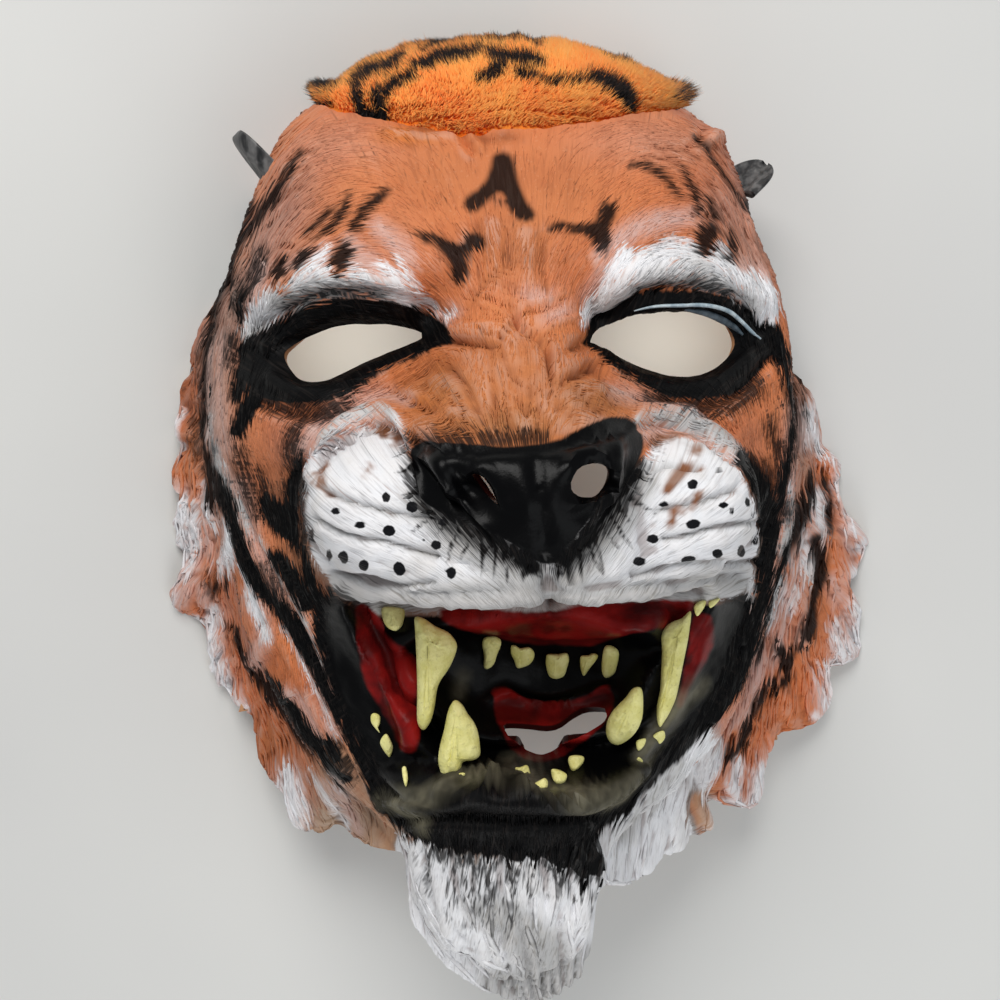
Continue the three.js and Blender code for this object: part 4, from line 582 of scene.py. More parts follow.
# height in mm, half width in front-view units, course
RIDGES = [
    (2.0, 7, [(268, 347), (300, 327), (340, 313), (390, 312), (426, 326)]), (-2.2, 6, [(252, 332), (300, 303), (340, 292), (390, 291), (432, 309)]),
    (2.4, 8, [(274, 380), (300, 394), (335, 391), (370, 373), (405, 358), (441, 344)]), (-1.8, 7, [(262, 404), (300, 415), (340, 409), (380, 389), (424, 370)]),
    (1.8, 3.6, [(604, 328), (622, 314), (660, 306), (700, 305), (726, 311), (743, 325), (755, 337)]), (-2.4, 4, [(598, 319), (640, 297), (700, 292), (736, 298), (762, 328)]),
    (2.2, 7, [(603, 357), (640, 380), (680, 388), (716, 382), (745, 358)]), (-1.8, 6, [(605, 379), (640, 397), (690, 404), (737, 393), (768, 360)]),
    (2.6, 9, [(600, 389), (625, 396), (660, 405), (690, 410)]), (-1.6, 4, [(588, 366), (605, 378), (640, 398)]),
    (2.4, 14, [(250, 302), (300, 278), (360, 276), (410, 296)]), (2.6, 14, [(606, 300), (650, 268), (710, 268), (756, 300)]), (-1.6, 5, [(636, 291), (668, 286), (702, 285)]),
    (-1.6, 4, [(445, 315), (470, 305), (490, 300), (510, 310), (520, 325)]), (-1.2, 3.4, [(440, 346), (470, 342), (490, 346)]), (-1.4, 4, [(565, 300), (540, 308), (522, 312), (521, 326), (545, 341), (551, 371)]),
    (1.6, 6, [(480, 300), (496, 286), (510, 275)]), (-1.4, 4, [(572, 346), (590, 340)]), (-1.6, 4, [(566, 377), (590, 368), (606, 362)]), (1.4, 7, [(455, 330), (500, 328), (512, 345)]),
    (-1.3, 6, [(476, 225), (480, 262), (474, 300)]), (-1.0, 5, [(508, 232), (506, 260), (512, 290)]), (-1.2, 6, [(545, 240), (542, 270), (552, 296)]), (1.2, 8, [(492, 225), (493, 280)]), (1.2, 8, [(525, 235), (528, 280)]),
    (2.2, 7, [(310, 478), (316, 456), (332, 432), (356, 413), (381, 407), (401, 424), (409, 446), (413, 470)]), (-2.6, 5, [(318, 468), (326, 452), (350, 436), (376, 426), (396, 433), (406, 450)]),
    (-1.8, 4, [(330, 415), (360, 393), (385, 386), (405, 397), (441, 418)]), (2.2, 8, [(420, 430), (445, 415), (470, 420)]),
    (1.8, 6, [(640, 413), (680, 413), (710, 427), (742, 453)]), (-2.0, 4, [(642, 426), (680, 427), (708, 440), (735, 462)]), (-1.8, 5, [(640, 400), (690, 405), (735, 430)]),
    (-2.5, 3.6, [(322, 492), (345, 500), (375, 509), (405, 516), (432, 520)]), (-2.5, 3.6, [(315, 521), (345, 537), (380, 543), (432, 556)]), (-2.5, 3.6, [(330, 573), (370, 583), (392, 587), (432, 582)]), (-1.3, 3.4, [(432, 556), (470, 566), (500, 580)]),
    (-2.5, 3.6, [(664, 540), (690, 536), (720, 528), (757, 523)]), (-2.5, 3.6, [(638, 574), (680, 568), (757, 562)]), (-2.2, 3.6, [(650, 470), (672, 462), (700, 468)]), (-2.1, 3.4, [(655, 512), (700, 502), (740, 488)]), (-1.3, 3.4, [(590, 590), (640, 574)]),
    (1.4, 9, [(345, 590), (400, 606), (470, 606), (540, 600)]), (1.4, 9, [(740, 588), (690, 596), (620, 600), (560, 602)]), (-1.5, 3.6, [(345, 578), (400, 594), (470, 594), (540, 588)]), (-1.5, 3.6, [(738, 574), (690, 583), (620, 588), (560, 592)]),
    (-1.8, 4.5, [(545, 560), (550, 585), (550, 610)]), (-2.0, 5, [(422, 447), (460, 450), (540, 448), (585, 438), (630, 426)]), (1.8, 6, [(424, 455), (440, 470), (452, 495)]),
    (2.6, 6, [(566, 470), (578, 456), (598, 456), (614, 470), (614, 490), (596, 506), (574, 503)]), (2.0, 5, [(466, 470), (484, 468), (498, 484), (506, 506)]), (-1.6, 6, [(535, 462), (540, 500), (546, 540)]),
    (3.4, 9, [(392, 800), (430, 806), (470, 795), (500, 775), (540, 800), (600, 800), (640, 770)]), (-2.0, 5, [(400, 822), (450, 818), (520, 822), (596, 818)]),
    (3.0, 6, [(490, 700), (505, 692), (522, 700), (552, 707), (600, 690), (614, 690)]), (0.8, 6, [(512, 754), (536, 768), (560, 764), (596, 746)]),
    (2.6, 9, [(372, 612), (400, 645), (410, 690), (410, 740)]), (-1.6, 5, [(362, 640), (378, 690), (396, 745)]), (2.0, 8, [(470, 622), (530, 630), (600, 630), (660, 618)]),
    (2.4, 7, [(440, 790), (470, 770), (520, 790)]), (-1.4, 4, [(232, 235), (228, 275), (236, 320)]), (-1.4, 4, [(742, 200), (770, 250), (786, 310)]),
    (3.6, 8, [(708, 110), (718, 115), (724, 124), (720, 134), (712, 138)]), (-1.6, 4, [(696, 116), (704, 126), (700, 140), (690, 146)]), (-1.8, 3.6, [(453, 124), (462, 138), (472, 151)]), (2.0, 3.4, [(459, 119), (467, 132), (479, 148)]), (-0.3, 4, [(484, 136), (500, 141), (518, 136)]), (1.2, 6, [(390, 132), (430, 138), (456, 134)]),
    (1.8, 6, [(724, 140), (738, 150), (748, 164)]), (-1.2, 4, [(712, 150), (728, 166), (744, 190)]),
]
# creases over the bridge of the nose and round it: depth in mm, half width, course
CREASES = [
    (1.7, 2.6, [(420, 350), (440, 343), (460, 341), (476, 341), (488, 343), (496, 341), (504, 334), (512, 326), (516, 318), (513, 308), (506, 300)]), (-1.3, 3.0, [(447, 317), (460, 308), (475, 303), (488, 304), (500, 307), (511, 312)]),
    (1.7, 2.8, [(514, 306), (517, 317), (524, 326), (532, 332), (541, 336), (546, 346), (551, 360), (554, 374), (558, 392)]), (-1.1, 2.8, [(516, 309), (524, 304), (540, 301), (556, 298)]), (-1.1, 2.8, [(544, 334), (553, 325), (563, 321), (576, 320), (586, 326)]),
    (1.4, 2.8, [(504, 270), (494, 280), (482, 289), (468, 299)]), (1.3, 3.0, [(570, 350), (580, 346), (594, 341)]), (1.5, 3.2, [(562, 383), (572, 375), (582, 373), (594, 366), (606, 363)]), (1.6, 3.0, [(438, 361), (450, 369), (460, 380), (468, 390), (473, 402), (479, 414), (486, 428)]),
    (1.4, 2.4, [(490, 346), (494, 362), (495, 384), (493, 405), (497, 424), (501, 438)]), (1.2, 2.2, [(501, 348), (507, 364), (515, 378), (521, 386)]), (1.2, 2.2, [(502, 382), (504, 400), (508, 414), (510, 434)]), (1.2, 2.2, [(514, 386), (517, 398), (519, 408)]),
    (1.2, 2.2, [(530, 384), (531, 396), (527, 406), (526, 416)]), (1.1, 2.2, [(537, 366), (539, 382), (540, 394)]), (1.2, 2.2, [(544, 384), (552, 396), (560, 410)]), (1.2, 2.2, [(524, 410), (531, 420), (534, 434)]), (1.2, 2.2, [(513, 424), (519, 436)]), (1.1, 2.2, [(536, 400), (542, 416), (547, 432)]),
    (1.0, 2.2, [(520, 354), (514, 349)]), (1.0, 2.2, [(481, 328), (487, 337)]), (1.0, 2.2, [(472, 344), (475, 354)]), (1.0, 2.2, [(572, 384), (588, 398), (602, 412)]), (1.0, 2.2, [(584, 380), (602, 392), (618, 406)]), (1.0, 2.2, [(600, 386), (620, 398), (644, 404)]), (0.9, 2.2, [(558, 400), (570, 414), (580, 426)]),
    (1.0, 2.2, [(430, 380), (418, 392)]), (1.0, 2.2, [(446, 386), (432, 402)]), (1.0, 2.2, [(460, 392), (450, 404)]), (1.1, 2.4, [(462, 404), (466, 418), (466, 430)]), (1.4, 3.0, [(400, 396), (420, 402), (440, 412)]), (1.0, 2.4, [(396, 380), (418, 370), (436, 366)]), (1.0, 2.2, [(540, 414), (548, 424)]),
    (1.2, 2.6, [(300, 262), (285, 262), (268, 272), (256, 284)]), (1.0, 2.4, [(296, 246), (276, 246), (258, 262)]), (1.0, 2.4, [(310, 166), (290, 172), (276, 182)]), (1.0, 2.4, [(316, 150), (300, 152), (286, 160)]), (1.0, 2.4, [(306, 184), (288, 192), (272, 208)]), (1.0, 2.4, [(298, 204), (280, 214), (266, 230)]),
    (1.0, 2.4, [(640, 156), (668, 158), (690, 168)]), (1.0, 2.4, [(650, 146), (684, 150), (704, 160)]), (1.0, 2.4, [(704, 176), (716, 192), (728, 214)]), (1.0, 2.4, [(724, 206), (738, 224), (750, 244)]), (1.0, 2.4, [(744, 226), (756, 244), (764, 262)]), (1.4, 3.0, [(690, 212), (706, 216), (718, 218)]),
]
# clumps of hair: height in mm, then [u, v, half width] from root to tip
CLUMPS = [
    (2.2, [(226, 283, 8), (213, 300, 9), (204, 320, 5)]), (3.0, [(214, 333, 6), (200, 350, 9), (181, 368, 9)]), (3.0, [(205, 378, 7), (190, 398, 10), (182, 410, 7)]), (3.2, [(203, 405, 7), (188, 427, 11), (176, 437, 8)]),
    (3.4, [(203, 447, 9), (187, 470, 14), (178, 488, 10)]), (3.2, [(206, 492, 8), (192, 520, 12), (178, 546, 10)]), (3.0, [(212, 478, 4), (208, 505, 7), (213, 519, 3)]), (3.2, [(232, 515, 4), (232, 540, 9), (222, 562, 4)]),
    (3.4, [(216, 545, 8), (197, 575, 13), (178, 602, 11)]), (3.0, [(236, 590, 8), (222, 622, 11), (214, 652, 8)]), (3.0, [(242, 638, 8), (226, 668, 11), (220, 692, 7)]), (3.0, [(256, 664, 8), (241, 694, 10), (236, 713, 6)]),
    (3.4, [(252, 598, 9), (246, 638, 13), (254, 662, 7)]), (3.4, [(290, 605, 12), (272, 638, 13), (257, 657, 7)]), (3.0, [(304, 648, 10), (298, 678, 10), (285, 699, 5)]), (3.4, [(262, 690, 10), (266, 730, 16), (276, 765, 13), (282, 790, 8)]),
    (3.2, [(302, 733, 14), (293, 780, 16), (302, 826, 11)]), (2.8, [(322, 760, 9), (326, 800, 14), (322, 828, 8)]), (2.6, [(345, 768, 10), (352, 810, 13), (378, 842, 9)]), (2.4, [(338, 700, 7), (330, 735, 9), (345, 770, 8)]),
    (3.0, [(820, 448, 6), (831, 463, 9), (839, 477, 7)]), (3.0, [(834, 488, 7), (850, 520, 10), (869, 541, 9)]), (3.2, [(834, 540, 10), (848, 580, 13), (858, 612, 8)]), (3.2, [(824, 598, 10), (842, 640, 13), (856, 678, 8)]),
    (3.2, [(812, 638, 9), (830, 680, 12), (842, 710, 8)]), (3.2, [(802, 650, 10), (814, 690, 14), (824, 725, 9)]), (3.0, [(783, 668, 10), (790, 705, 13), (796, 726, 8)]), (3.0, [(766, 706, 10), (770, 740, 12), (761, 768, 8)]),
    (2.8, [(746, 748, 8), (749, 780, 11), (745, 806, 7)]), (2.6, [(756, 754, 7), (759, 785, 8), (753, 803, 4)]), (2.4, [(730, 760, 7), (733, 785, 9), (733, 802, 5)]), (3.0, [(716, 733, 8), (713, 765, 11), (700, 790, 7)]),
    (2.6, [(700, 783, 6), (705, 810, 10), (711, 830, 5)]), (3.0, [(682, 768, 9), (677, 810, 13), (681, 848, 8)]), (3.0, [(660, 788, 9), (656, 830, 13), (650, 872, 8)]), (2.8, [(636, 808, 8), (629, 850, 11), (622, 888, 7)]), (2.6, [(612, 820, 6), (606, 860, 9), (603, 898, 6)]),
    (2.6, [(805, 500, 8), (812, 535, 10), (808, 575, 6)]), (2.6, [(790, 560, 7), (784, 600, 9), (775, 640, 6)]), (2.6, [(800, 590, 8), (806, 620, 10), (806, 642, 6)]), (2.4, [(770, 600, 8), (775, 640, 10), (786, 664, 5)]), (2.6, [(762, 640, 8), (764, 672, 10), (760, 700, 5)]), (2.6, [(745, 690, 8), (745, 720, 10), (733, 752, 6)]),
]
# long strands of the inner mane
MANE = [
    (1.9, [(240, 205, 4), (231, 250, 6), (222, 300, 7), (216, 350, 7), (214, 400, 7), (220, 450, 7), (235, 500, 7), (255, 552, 6), (282, 600, 6), (306, 650, 6), (330, 700, 6), (356, 755, 5), (382, 812, 4)]),
    (1.7, [(228, 215, 4), (220, 262, 5), (209, 312, 6), (203, 362, 6), (204, 412, 6), (212, 462, 6), (226, 510, 6), (243, 560, 6), (268, 612, 6), (292, 662, 5), (316, 712, 5), (340, 762, 4)]),
    (1.6, [(252, 200, 3), (243, 245, 5), (236, 295, 6), (230, 345, 6), (228, 395, 6), (233, 445, 6), (248, 495, 6), (268, 545, 5), (294, 592, 5), (318, 640, 5), (336, 690, 4)]),
    (1.6, [(756, 210, 3), (770, 250, 5), (782, 300, 6), (793, 350, 6), (798, 400, 6), (796, 450, 6), (790, 500, 6), (782, 545, 6), (768, 590, 6), (752, 635, 6), (735, 680, 6), (712, 720, 5)]),
    (1.8, [(764, 205, 3), (780, 255, 5), (794, 305, 6), (804, 355, 6), (810, 405, 6), (810, 455, 7), (804, 505, 7), (796, 550, 6), (782, 598, 6), (768, 642, 6), (752, 688, 6), (732, 728, 5)]),
    (1.5, [(746, 215, 3), (760, 262, 4), (771, 310, 5), (780, 360, 5), (786, 410, 6), (784, 460, 6), (778, 510, 5), (768, 555, 5), (756, 598, 5), (742, 642, 5)]),
]

# ---- the shell ----------------------------------------------------------------------------------------------
lin = np.linspace(-1, 1, CELLS + 1)
gx, gy = np.meshgrid(lin, lin)
ga, gb = gx * np.sqrt(1 - gy * gy / 2), gy * np.sqrt(1 - gx * gx / 2)
G = np.minimum(np.hypot(ga, gb), 1).ravel()
ANG = np.degrees(np.arctan2(gb, ga)).ravel()
S = G * (0.72 + 0.28 * G**2.2)
P0 = face_point(S, ANG, fine=True)
N0 = grid_normals(P0, CELLS)
u0, v0 = front_view(P0)
x0, y0, z0 = P0.T
facing = ((EYE - P0) * N0).sum(1) / np.linalg.norm(EYE - P0, axis=1)
seen = sm(-0.05, 0.25, facing)
hidden = facing < -0.12
uu, vv = np.where(hidden, -900.0, u0), np.where(hidden, -900.0, v0)
F = Field(uu, vv)

mouth_in = F.mask(areas=[MOUTH_AREA])
nose_in = F.mask(areas=[NOSE_AREA])
pads_in = F.mask(areas=[WHITE_AREAS[0]])
beard_in = F.mask(areas=[WHITE_AREAS[1]], low=-30.0)
psi = np.where(ANG >= -90, 90 - ANG, 270 + ANG)
psi = np.where((ANG > 90), ANG - 90, psi)          # 0 at the crown, 180 at the chin, either side
psi = np.where((ANG < -90), 270 + ANG, psi)
psi = np.where(ANG > 90, ANG - 90, np.where(ANG < -90, 270 + ANG, 90 - ANG))
side_sign = np.where(np.abs(ANG) > 90, -1.0, 1.0)

# strand coordinates: across and along, in mm, for the forehead and cheeks, the pads, the mane and the beard
def around(cx, cy, cut):
    a = np.degrees(np.arctan2(y0 - cy, x0 - cx))
    a = (a - cut) % 360
    return np.stack([a * math.pi / 180 * 60, np.hypot(x0 - cx, y0 - cy) + z0 * 0.35], -1)


C_FACE = around(2, 6, -90)
C_PAD = around(6, -24, -90)
C_MANE = np.stack([205 * S - 0.42 * psi + side_sign * 300, psi * 1.9], -1)
C_RUFF = np.stack([1.5 * psi - 120 * S + side_sign * 300 + 900, 215 * S + 0.25 * psi], -1)
C_BEARD = np.stack([x0 * 1.0 - 0.12 * (y0 + 90) + 0.002 * (x0 - 6) * (y0 + 90) * -1.0 + 2000, -y0 - 0.3 * z0], -1)
is_pad = sm(-3, 3, pads_in)
is_beard = np.clip(sm(-6, 4, beard_in) + sm(-100, -108, y0) * sm(56, 46, np.abs(x0 - 4)), 0, 1)
is_side = sm(0.585, 0.64, S) * (1 - is_beard)
is_ruff = sm(0.80, 0.86, S + 0.02 * (noise(psi * 0.2, psi * 0, 2) - 0.5)) * (1 - is_beard) * ruff_at(ANG)
bare = np.clip(sm(-2, 2, mouth_in) + sm(-2, 2, nose_in), 0, 1)


def hair(across, along, seed):
    out = strands(C_FACE[:, 0] * across, C_FACE[:, 1] * along, seed)
    out = out + (strands(C_PAD[:, 0] * across, C_PAD[:, 1] * along, seed + 1) - out) * is_pad
    out = out + (strands(C_MANE[:, 0] * across, C_MANE[:, 1] * along, seed + 2) - out) * is_side
    out = out + (strands(C_RUFF[:, 0] * across, C_RUFF[:, 1] * along, seed + 3) - out) * is_ruff
    return out + (strands(C_BEARD[:, 0] * across, C_BEARD[:, 1] * along, seed + 4) - out) * is_beard


coarse, medium = hair(0.16, 0.028, 20), hair(0.36, 0.05, 40)
brow = np.exp(-(((vv - 275) / 45) ** 2)) * (np.exp(-(((uu - 335) / 85) ** 2)) + np.exp(-(((uu - 690) / 85) ** 2)))
amp = 0.35 + 0.9 * brow + 1.1 * is_side + 0.9 * is_ruff + 1.5 * is_beard + 0.25 * is_pad
amp = amp * (1 - 0.85 * bare)
relief = amp * ((coarse - 0.5) * 1.0 + (medium - 0.5) * 0.45)
relief = relief + is_pad * (1.1 * (noise(x0 * 0.24, y0 * 0.3, 9) - 0.5) + 0.5 * (noise(x0 * 0.6, y0 * 0.7, 10) - 0.5)) + 0.35 * (noise(x0 * 0.16, y0 * 0.16, 7) - 0.5) + 0.6 * bare * (noise(x0 * 0.35, y0 * 0.35, 8) - 0.5) * sm(-2, 4, mouth_in)

# vertical wrinkles down the bridge of the nose
wr = strands(u0 * 0.105 + 0.6 * np.sin(v0 * 0.05), v0 * 0.020, 61)
relief = relief - 0.7 * (1 - wr) ** 2 * np.exp(-(((u0 - 522) / 48) ** 2) - (((v0 - 385) / 48) ** 2))
wr2 = strands(v0 * 0.11, u0 * 0.02, 65)
relief = relief - 0.9 * (1 - wr2) ** 2 * (np.exp(-(((u0 - 600) / 40) ** 2) - (((v0 - 400) / 22) ** 2)) + np.exp(-(((u0 - 440) / 45) ** 2) - (((v0 - 400) / 25) ** 2)))

dent = np.zeros(len(S))
for height, wide, course in RIDGES:
    idx, e, _, _ = F.stroke(course, pad=wide * 3.0)
    relief[idx] += height * np.exp(-((e / wide) ** 2)) * (0.35 + 0.65 * seen[idx])
    # the pads' deep narrow creases are greyed too, through shade: painted shade in them
    if height <= -2.1 and wide < 4:
        dent[idx] = np.maximum(dent[idx], np.exp(-((e / 2.8) ** 2)) * seen[idx])

crease = np.zeros(len(S))
for depth, wide, course in CREASES:
    idx, e, t_, _ = F.stroke(course, pad=wide * 3.0)
    fade = np.clip(np.minimum(t_, 1 - t_) * 6 + 0.25, 0, 1)
    cut_in = np.exp(-((e / wide) ** 2)) * fade * (0.3 + 0.7 * seen[idx])
    relief[idx] -= depth * cut_in
    if depth > 0:
        crease[idx] = np.maximum(crease[idx], np.exp(-((e / (wide * 0.8)) ** 2)) * fade * depth / 1.6)

pile = np.zeros(len(S))
clump_tip = np.zeros(len(S))
for height, course in CLUMPS:
    idx, e, t, r = F.stroke(course, pad=2)
    q = np.clip(1 - (1 - np.clip(e / r, 0, 1)) ** 2.4, 0, 1) ** 0.6
    h = height * 0.62 * (0.2 + 0.8 * t) * q + 0.15 * q
    new = (h > pile[idx])
    pile[idx] = np.maximum(pile[idx], h)
    clump_tip[idx] = np.where(new, sm(0.45, 0.95, t), clump_tip[idx])
for height, course in MANE:
    idx, e, t, r = F.stroke(course, pad=2)
    q = np.clip(1 - (1 - np.clip(e / r, 0, 1)) ** 2, 0, 1) ** 0.55
    pile[idx] = np.maximum(pile[idx], height * 0.9 * q)
# the beard hangs in long tapering strands
for i in range(13):
    f = i / 12
    a, b = 412 + 184 * f, 470 + 118 * f
    wob = 6 * math.sin(i * 2.3)
    tip = 1002 - 60 * (abs(f - 0.62) / 0.62) ** 1.6
    course = [(a, 838 + 3 * math.sin(i * 1.7), 4), (a + (b - a) * 0.15 + wob, 885, 7.5), (a + (b - a) * 0.5 - wob * 0.6, 935, 7), (b, tip, 3)]
    idx, e, t, r = F.stroke(course, pad=2)
    q = np.clip(1 - (1 - np.clip(e / r, 0, 1)) ** 2, 0, 1) ** 0.5
    pile[idx] = np.maximum(pile[idx], 2.6 * q * sm(0, 0.12, t))
relief = relief + pile * (0.25 + 0.75 * seen) * (1 - bare)
# behind the silhouette, where no clump is drawn, the ruff keeps rows of locks
row = (C_RUFF[:, 1] * 0.075 + 0.35 * np.floor(psi / 7.0)) % 1.0
relief = relief + 2.2 * row**1.5 * is_ruff * (1 - seen * (pile > 0.05)) * 0.6

rim = G > 0.9999
P1 = P0 + N0 * relief[:, None]
P1[:, 2] = np.maximum(P1[:, 2], np.where(rim, 0.0, 0.25))
flat = rim & (z0 < 12)
P1[flat] = P0[flat]
N1 = grid_normals(P1, CELLS)
# the curvature found here darkens the grooves and lightens the ridges in the paint below: a dark wash and dry-brushing,
# and painted shade and highlight as well
curv = ((P1.reshape(CELLS + 1, CELLS + 1, 3) - 0.0))
lap = np.zeros_like(curv)
lap[1:-1, 1:-1] = (curv[:-2, 1:-1] + curv[2:, 1:-1] + curv[1:-1, :-2] + curv[1:-1, 2:]) / 4 - curv[1:-1, 1:-1]
cavity = np.clip((lap.reshape(-1, 3) * N1).sum(1) * 6.0, -1, 1)      # over 0 in grooves
for _ in range(2):
    c = cavity.reshape(CELLS + 1, CELLS + 1)
    c[1:-1, 1:-1] = (c[1:-1, 1:-1] * 2 + c[:-2, 1:-1] + c[2:, 1:-1] + c[1:-1, :-2] + c[1:-1, 2:]) / 6
    cavity = c.ravel()

# inner face
r0 = np.hypot(x0, y0)
P2 = P0 - N0 * (LATEX + np.clip(-relief - 0.3, 0, 4))[:, None]
P2[:, 2] = np.maximum(P2[:, 2], np.minimum(0.4, z0))
P2[flat, 0] = x0[flat] * (1 - LATEX / r0[flat])
P2[flat, 1] = y0[flat] * (1 - LATEX / r0[flat])
P2[flat, 2] = z0[flat]

# paint, as numbers carried by the surface
black = F.mask(BLACK_STROKES, BLACK_AREAS)
soft = np.maximum(sm(-16, 6, F.mask(SOFT_BLACK)), 0.66 * sm(-10, 4, F.mask(BEARD_STREAKS)))
haze = sm(-12, 7, F.mask(HAZE))
feather = np.clip(1 - is_side - is_beard, 0, 1) * sm(300, 270, vv) * (1 - sm(-8, 0, F.mask(areas=BLACK_AREAS[:2])))
feather = np.maximum(feather, 0.8 * is_side)
white = sm(-11, 9, F.mask(WHITE_STROKES))
white = np.maximum(white, sm(-5, 5, F.mask(areas=WHITE_AREAS)))
white = np.maximum(white, 0.84 * sm(-11, 8, F.mask(areas=BROW_WHITE)))
white = np.maximum(white, is_beard * sm(-102, -110, y0) * np.where(hidden, sm(-42, -36, x0), sm(-12, -4, beard_in)))
white = np.maximum(white, sm(-16, -6, pads_in) * sm(-14, -6, nose_in) * sm(462, 474, vv))
red = F.mask(areas=RED_AREAS)
tan = sm(-14, 10, F.mask(areas=TAN_AREAS))
grey = sm(-10, 6, F.mask(CHIN_GREY))
wear = sm(-3, 2, F.mask(WEAR))
# shade: grey paint, and painted shade under the brows, in the pads' creases and lower rims and over the lower beard
shade = np.maximum(sm(-14, 8, F.mask(DULL_AND_SHADE)), dent)
dots = np.full(len(S), -9.0)
for a, b, ru, rv in DOTS:
    dots = np.maximum(dots, (1 - np.hypot((uu - a) / ru, (vv - b) / rv)) * min(ru, rv))
# sides that the front view doesn't reach: dark streaks, pale tips
away = 1 - sm(0.0, 0.2, facing)
streak = noise(C_MANE[:, 0] * 0.09, C_MANE[:, 1] * 0.02, 77)
black = np.maximum(black, np.where(away > 0.3, (streak - 0.66) * 40 * is_side - 4 * (1 - is_side) - 8 * (1 - away), -24))
tips = sm(0.93, 1.0, S + 0.03 * (medium - 0.5)) * ruff_at(ANG) * sm(0.45, 0.7, noise(psi * 0.13, side_sign * 3, 12))
white = np.maximum(white, tips * 0.9)
# the pads' outer walls, which the front view doesn't reach, run down into black
wall = hidden & (S < 0.66) & (np.abs(x0) > 30) & (y0 > -24) & (y0 < 48)
black[wall] = np.maximum(black[wall], 6)

gloss = np.clip(sm(-3, 3, nose_in) + 0.8 * sm(-3, 3, mouth_in), 0, 1)


def srgb(r, g, b):
    c = np.array([r, g, b]) / 255
    return np.where(c <= 0.04045, c / 12.92, ((c + 0.055) / 1.055) ** 2.4)


ORANGE, BRIDGE, PINK, RUFF, RAW, DEEP = srgb(214, 128, 82), srgb(196, 118, 62), srgb(176, 112, 92), srgb(206, 118, 74), srgb(196, 160, 128), srgb(176, 92, 52)
tone = np.tile(ORANGE, (len(S), 1))


def tint(colour, amount):
    global tone
    tone = tone + (colour - tone) * np.clip(amount, 0, 1)[:, None]


tint(DEEP, 0.35 * sm(0.35, 0.7, noise(x0 * 0.03 + 5, y0 * 0.03, 31)))
tint(BRIDGE, np.exp(-(((uu - 510) / 70) ** 2) - (((vv - 385) / 60) ** 2)))
tint(BRIDGE, 0.8 * np.exp(-(((uu - 415) / 40) ** 2) - (((vv - 395) / 22) ** 2)))
tint(PINK, 0.75 * is_side * sm(0.30, 0.75, noise(C_MANE[:, 0] * 0.11, C_MANE[:, 1] * 0.018, 33)))
tint(RUFF, 0.8 * is_ruff)
tint(RAW, 0.9 * tan)
PAINTS = {"gold": srgb(194, 117, 73), "rose": srgb(214, 146, 116), "clay": srgb(184, 112, 70), "ochre": srgb(162, 104, 60), "rust_brown_and_shade": srgb(150, 86, 54), "mauve": srgb(180, 134, 118), "umber_shade": srgb(108, 76, 58), "smoke": srgb(142, 124, 116), "buff": srgb(158, 138, 120), "ember": srgb(216, 120, 72), "flap": srgb(214, 122, 50)}
for paint, much, cu, cv, ru, rv, turn in COATS:
    tint(PAINTS[paint], much * bell(uu, vv, cu, cv, ru, rv, turn))
# where black meets white, and on the pads' sides that turn away, the ground is tinted dark grey-brown, grey and near
# black, not left orange
tint(srgb(60, 52, 48), sm(-13, -4, mouth_in))
tint(srgb(92, 82, 76), sm(-12, -4, nose_in) * sm(452, 466, vv))
tint(srgb(128, 122, 116), sm(-9, -2, pads_in) * sm(490, 520, vv))
tint(srgb(152, 148, 143), np.clip(is_beard + sm(-8, -2, beard_in), 0, 1) * np.where(hidden, sm(-42, -36, x0), sm(-12, -4, beard_in)))
# painted shade: the creases over the bridge are darkened in the ground colour
tint(srgb(94, 52, 36), np.clip(crease, 0, 1) * 0.75)
tint(srgb(24, 21, 20), sm(-22, -14, pads_in) * sm(0.55, 0.3, facing) * sm(452, 470, vv) * sm(640, 612, vv) * np.where(hidden, 0, 1))
tint(srgb(190, 132, 112), 0.7 * np.exp(-(((uu - 300) / 34) ** 2) - (((vv - 440) / 26) ** 2)))

# ---- openings: kept where the number is over 0 ----------------------------------------------------------------
open_at = np.full(len(S), -16.0)
for hole in (EYE_LEFT, EYE_RIGHT, NOSTRIL_LEFT, NOSTRIL_RIGHT, THROAT):
    idx, e = F.area(hole, pad=16, k=4)
    ok = S[idx] < 0.7
    open_at[idx[ok]] = np.maximum(open_at[idx[ok]], e[ok])
torn = brow_y(x0) + 0.7 * (noise(x0 * 0.5, x0 * 0, 91) - 0.5) + 0.5 * (noise(x0 * 1.3, x0 * 0, 92) - 0.5)
notch = np.minimum(np.minimum(y0 - torn, x0 - BROW_EDGE[0, 0]), BROW_EDGE[-1, 0] - x0) * 3.1
keep = -np.maximum(open_at, np.where(y0 > 60, notch, -16))
keep[np.abs(keep) < 0.02] = 0.02


def grid_faces(n):
    r, c = np.meshgrid(np.arange(n), np.arange(n), indexing="ij")
    a = (r * (n + 1) + c).ravel()
    b, d, e = a + 1, a + n + 1, a + n + 2
    rising = ((r < n / 2) == (c < n / 2)).ravel()
    one = np.where(rising[:, None], np.stack([a, b, e], 1), np.stack([a, b, d], 1))
    two = np.where(rising[:, None], np.stack([a, e, d], 1), np.stack([b, e, d], 1))
    return np.concatenate([one, two])


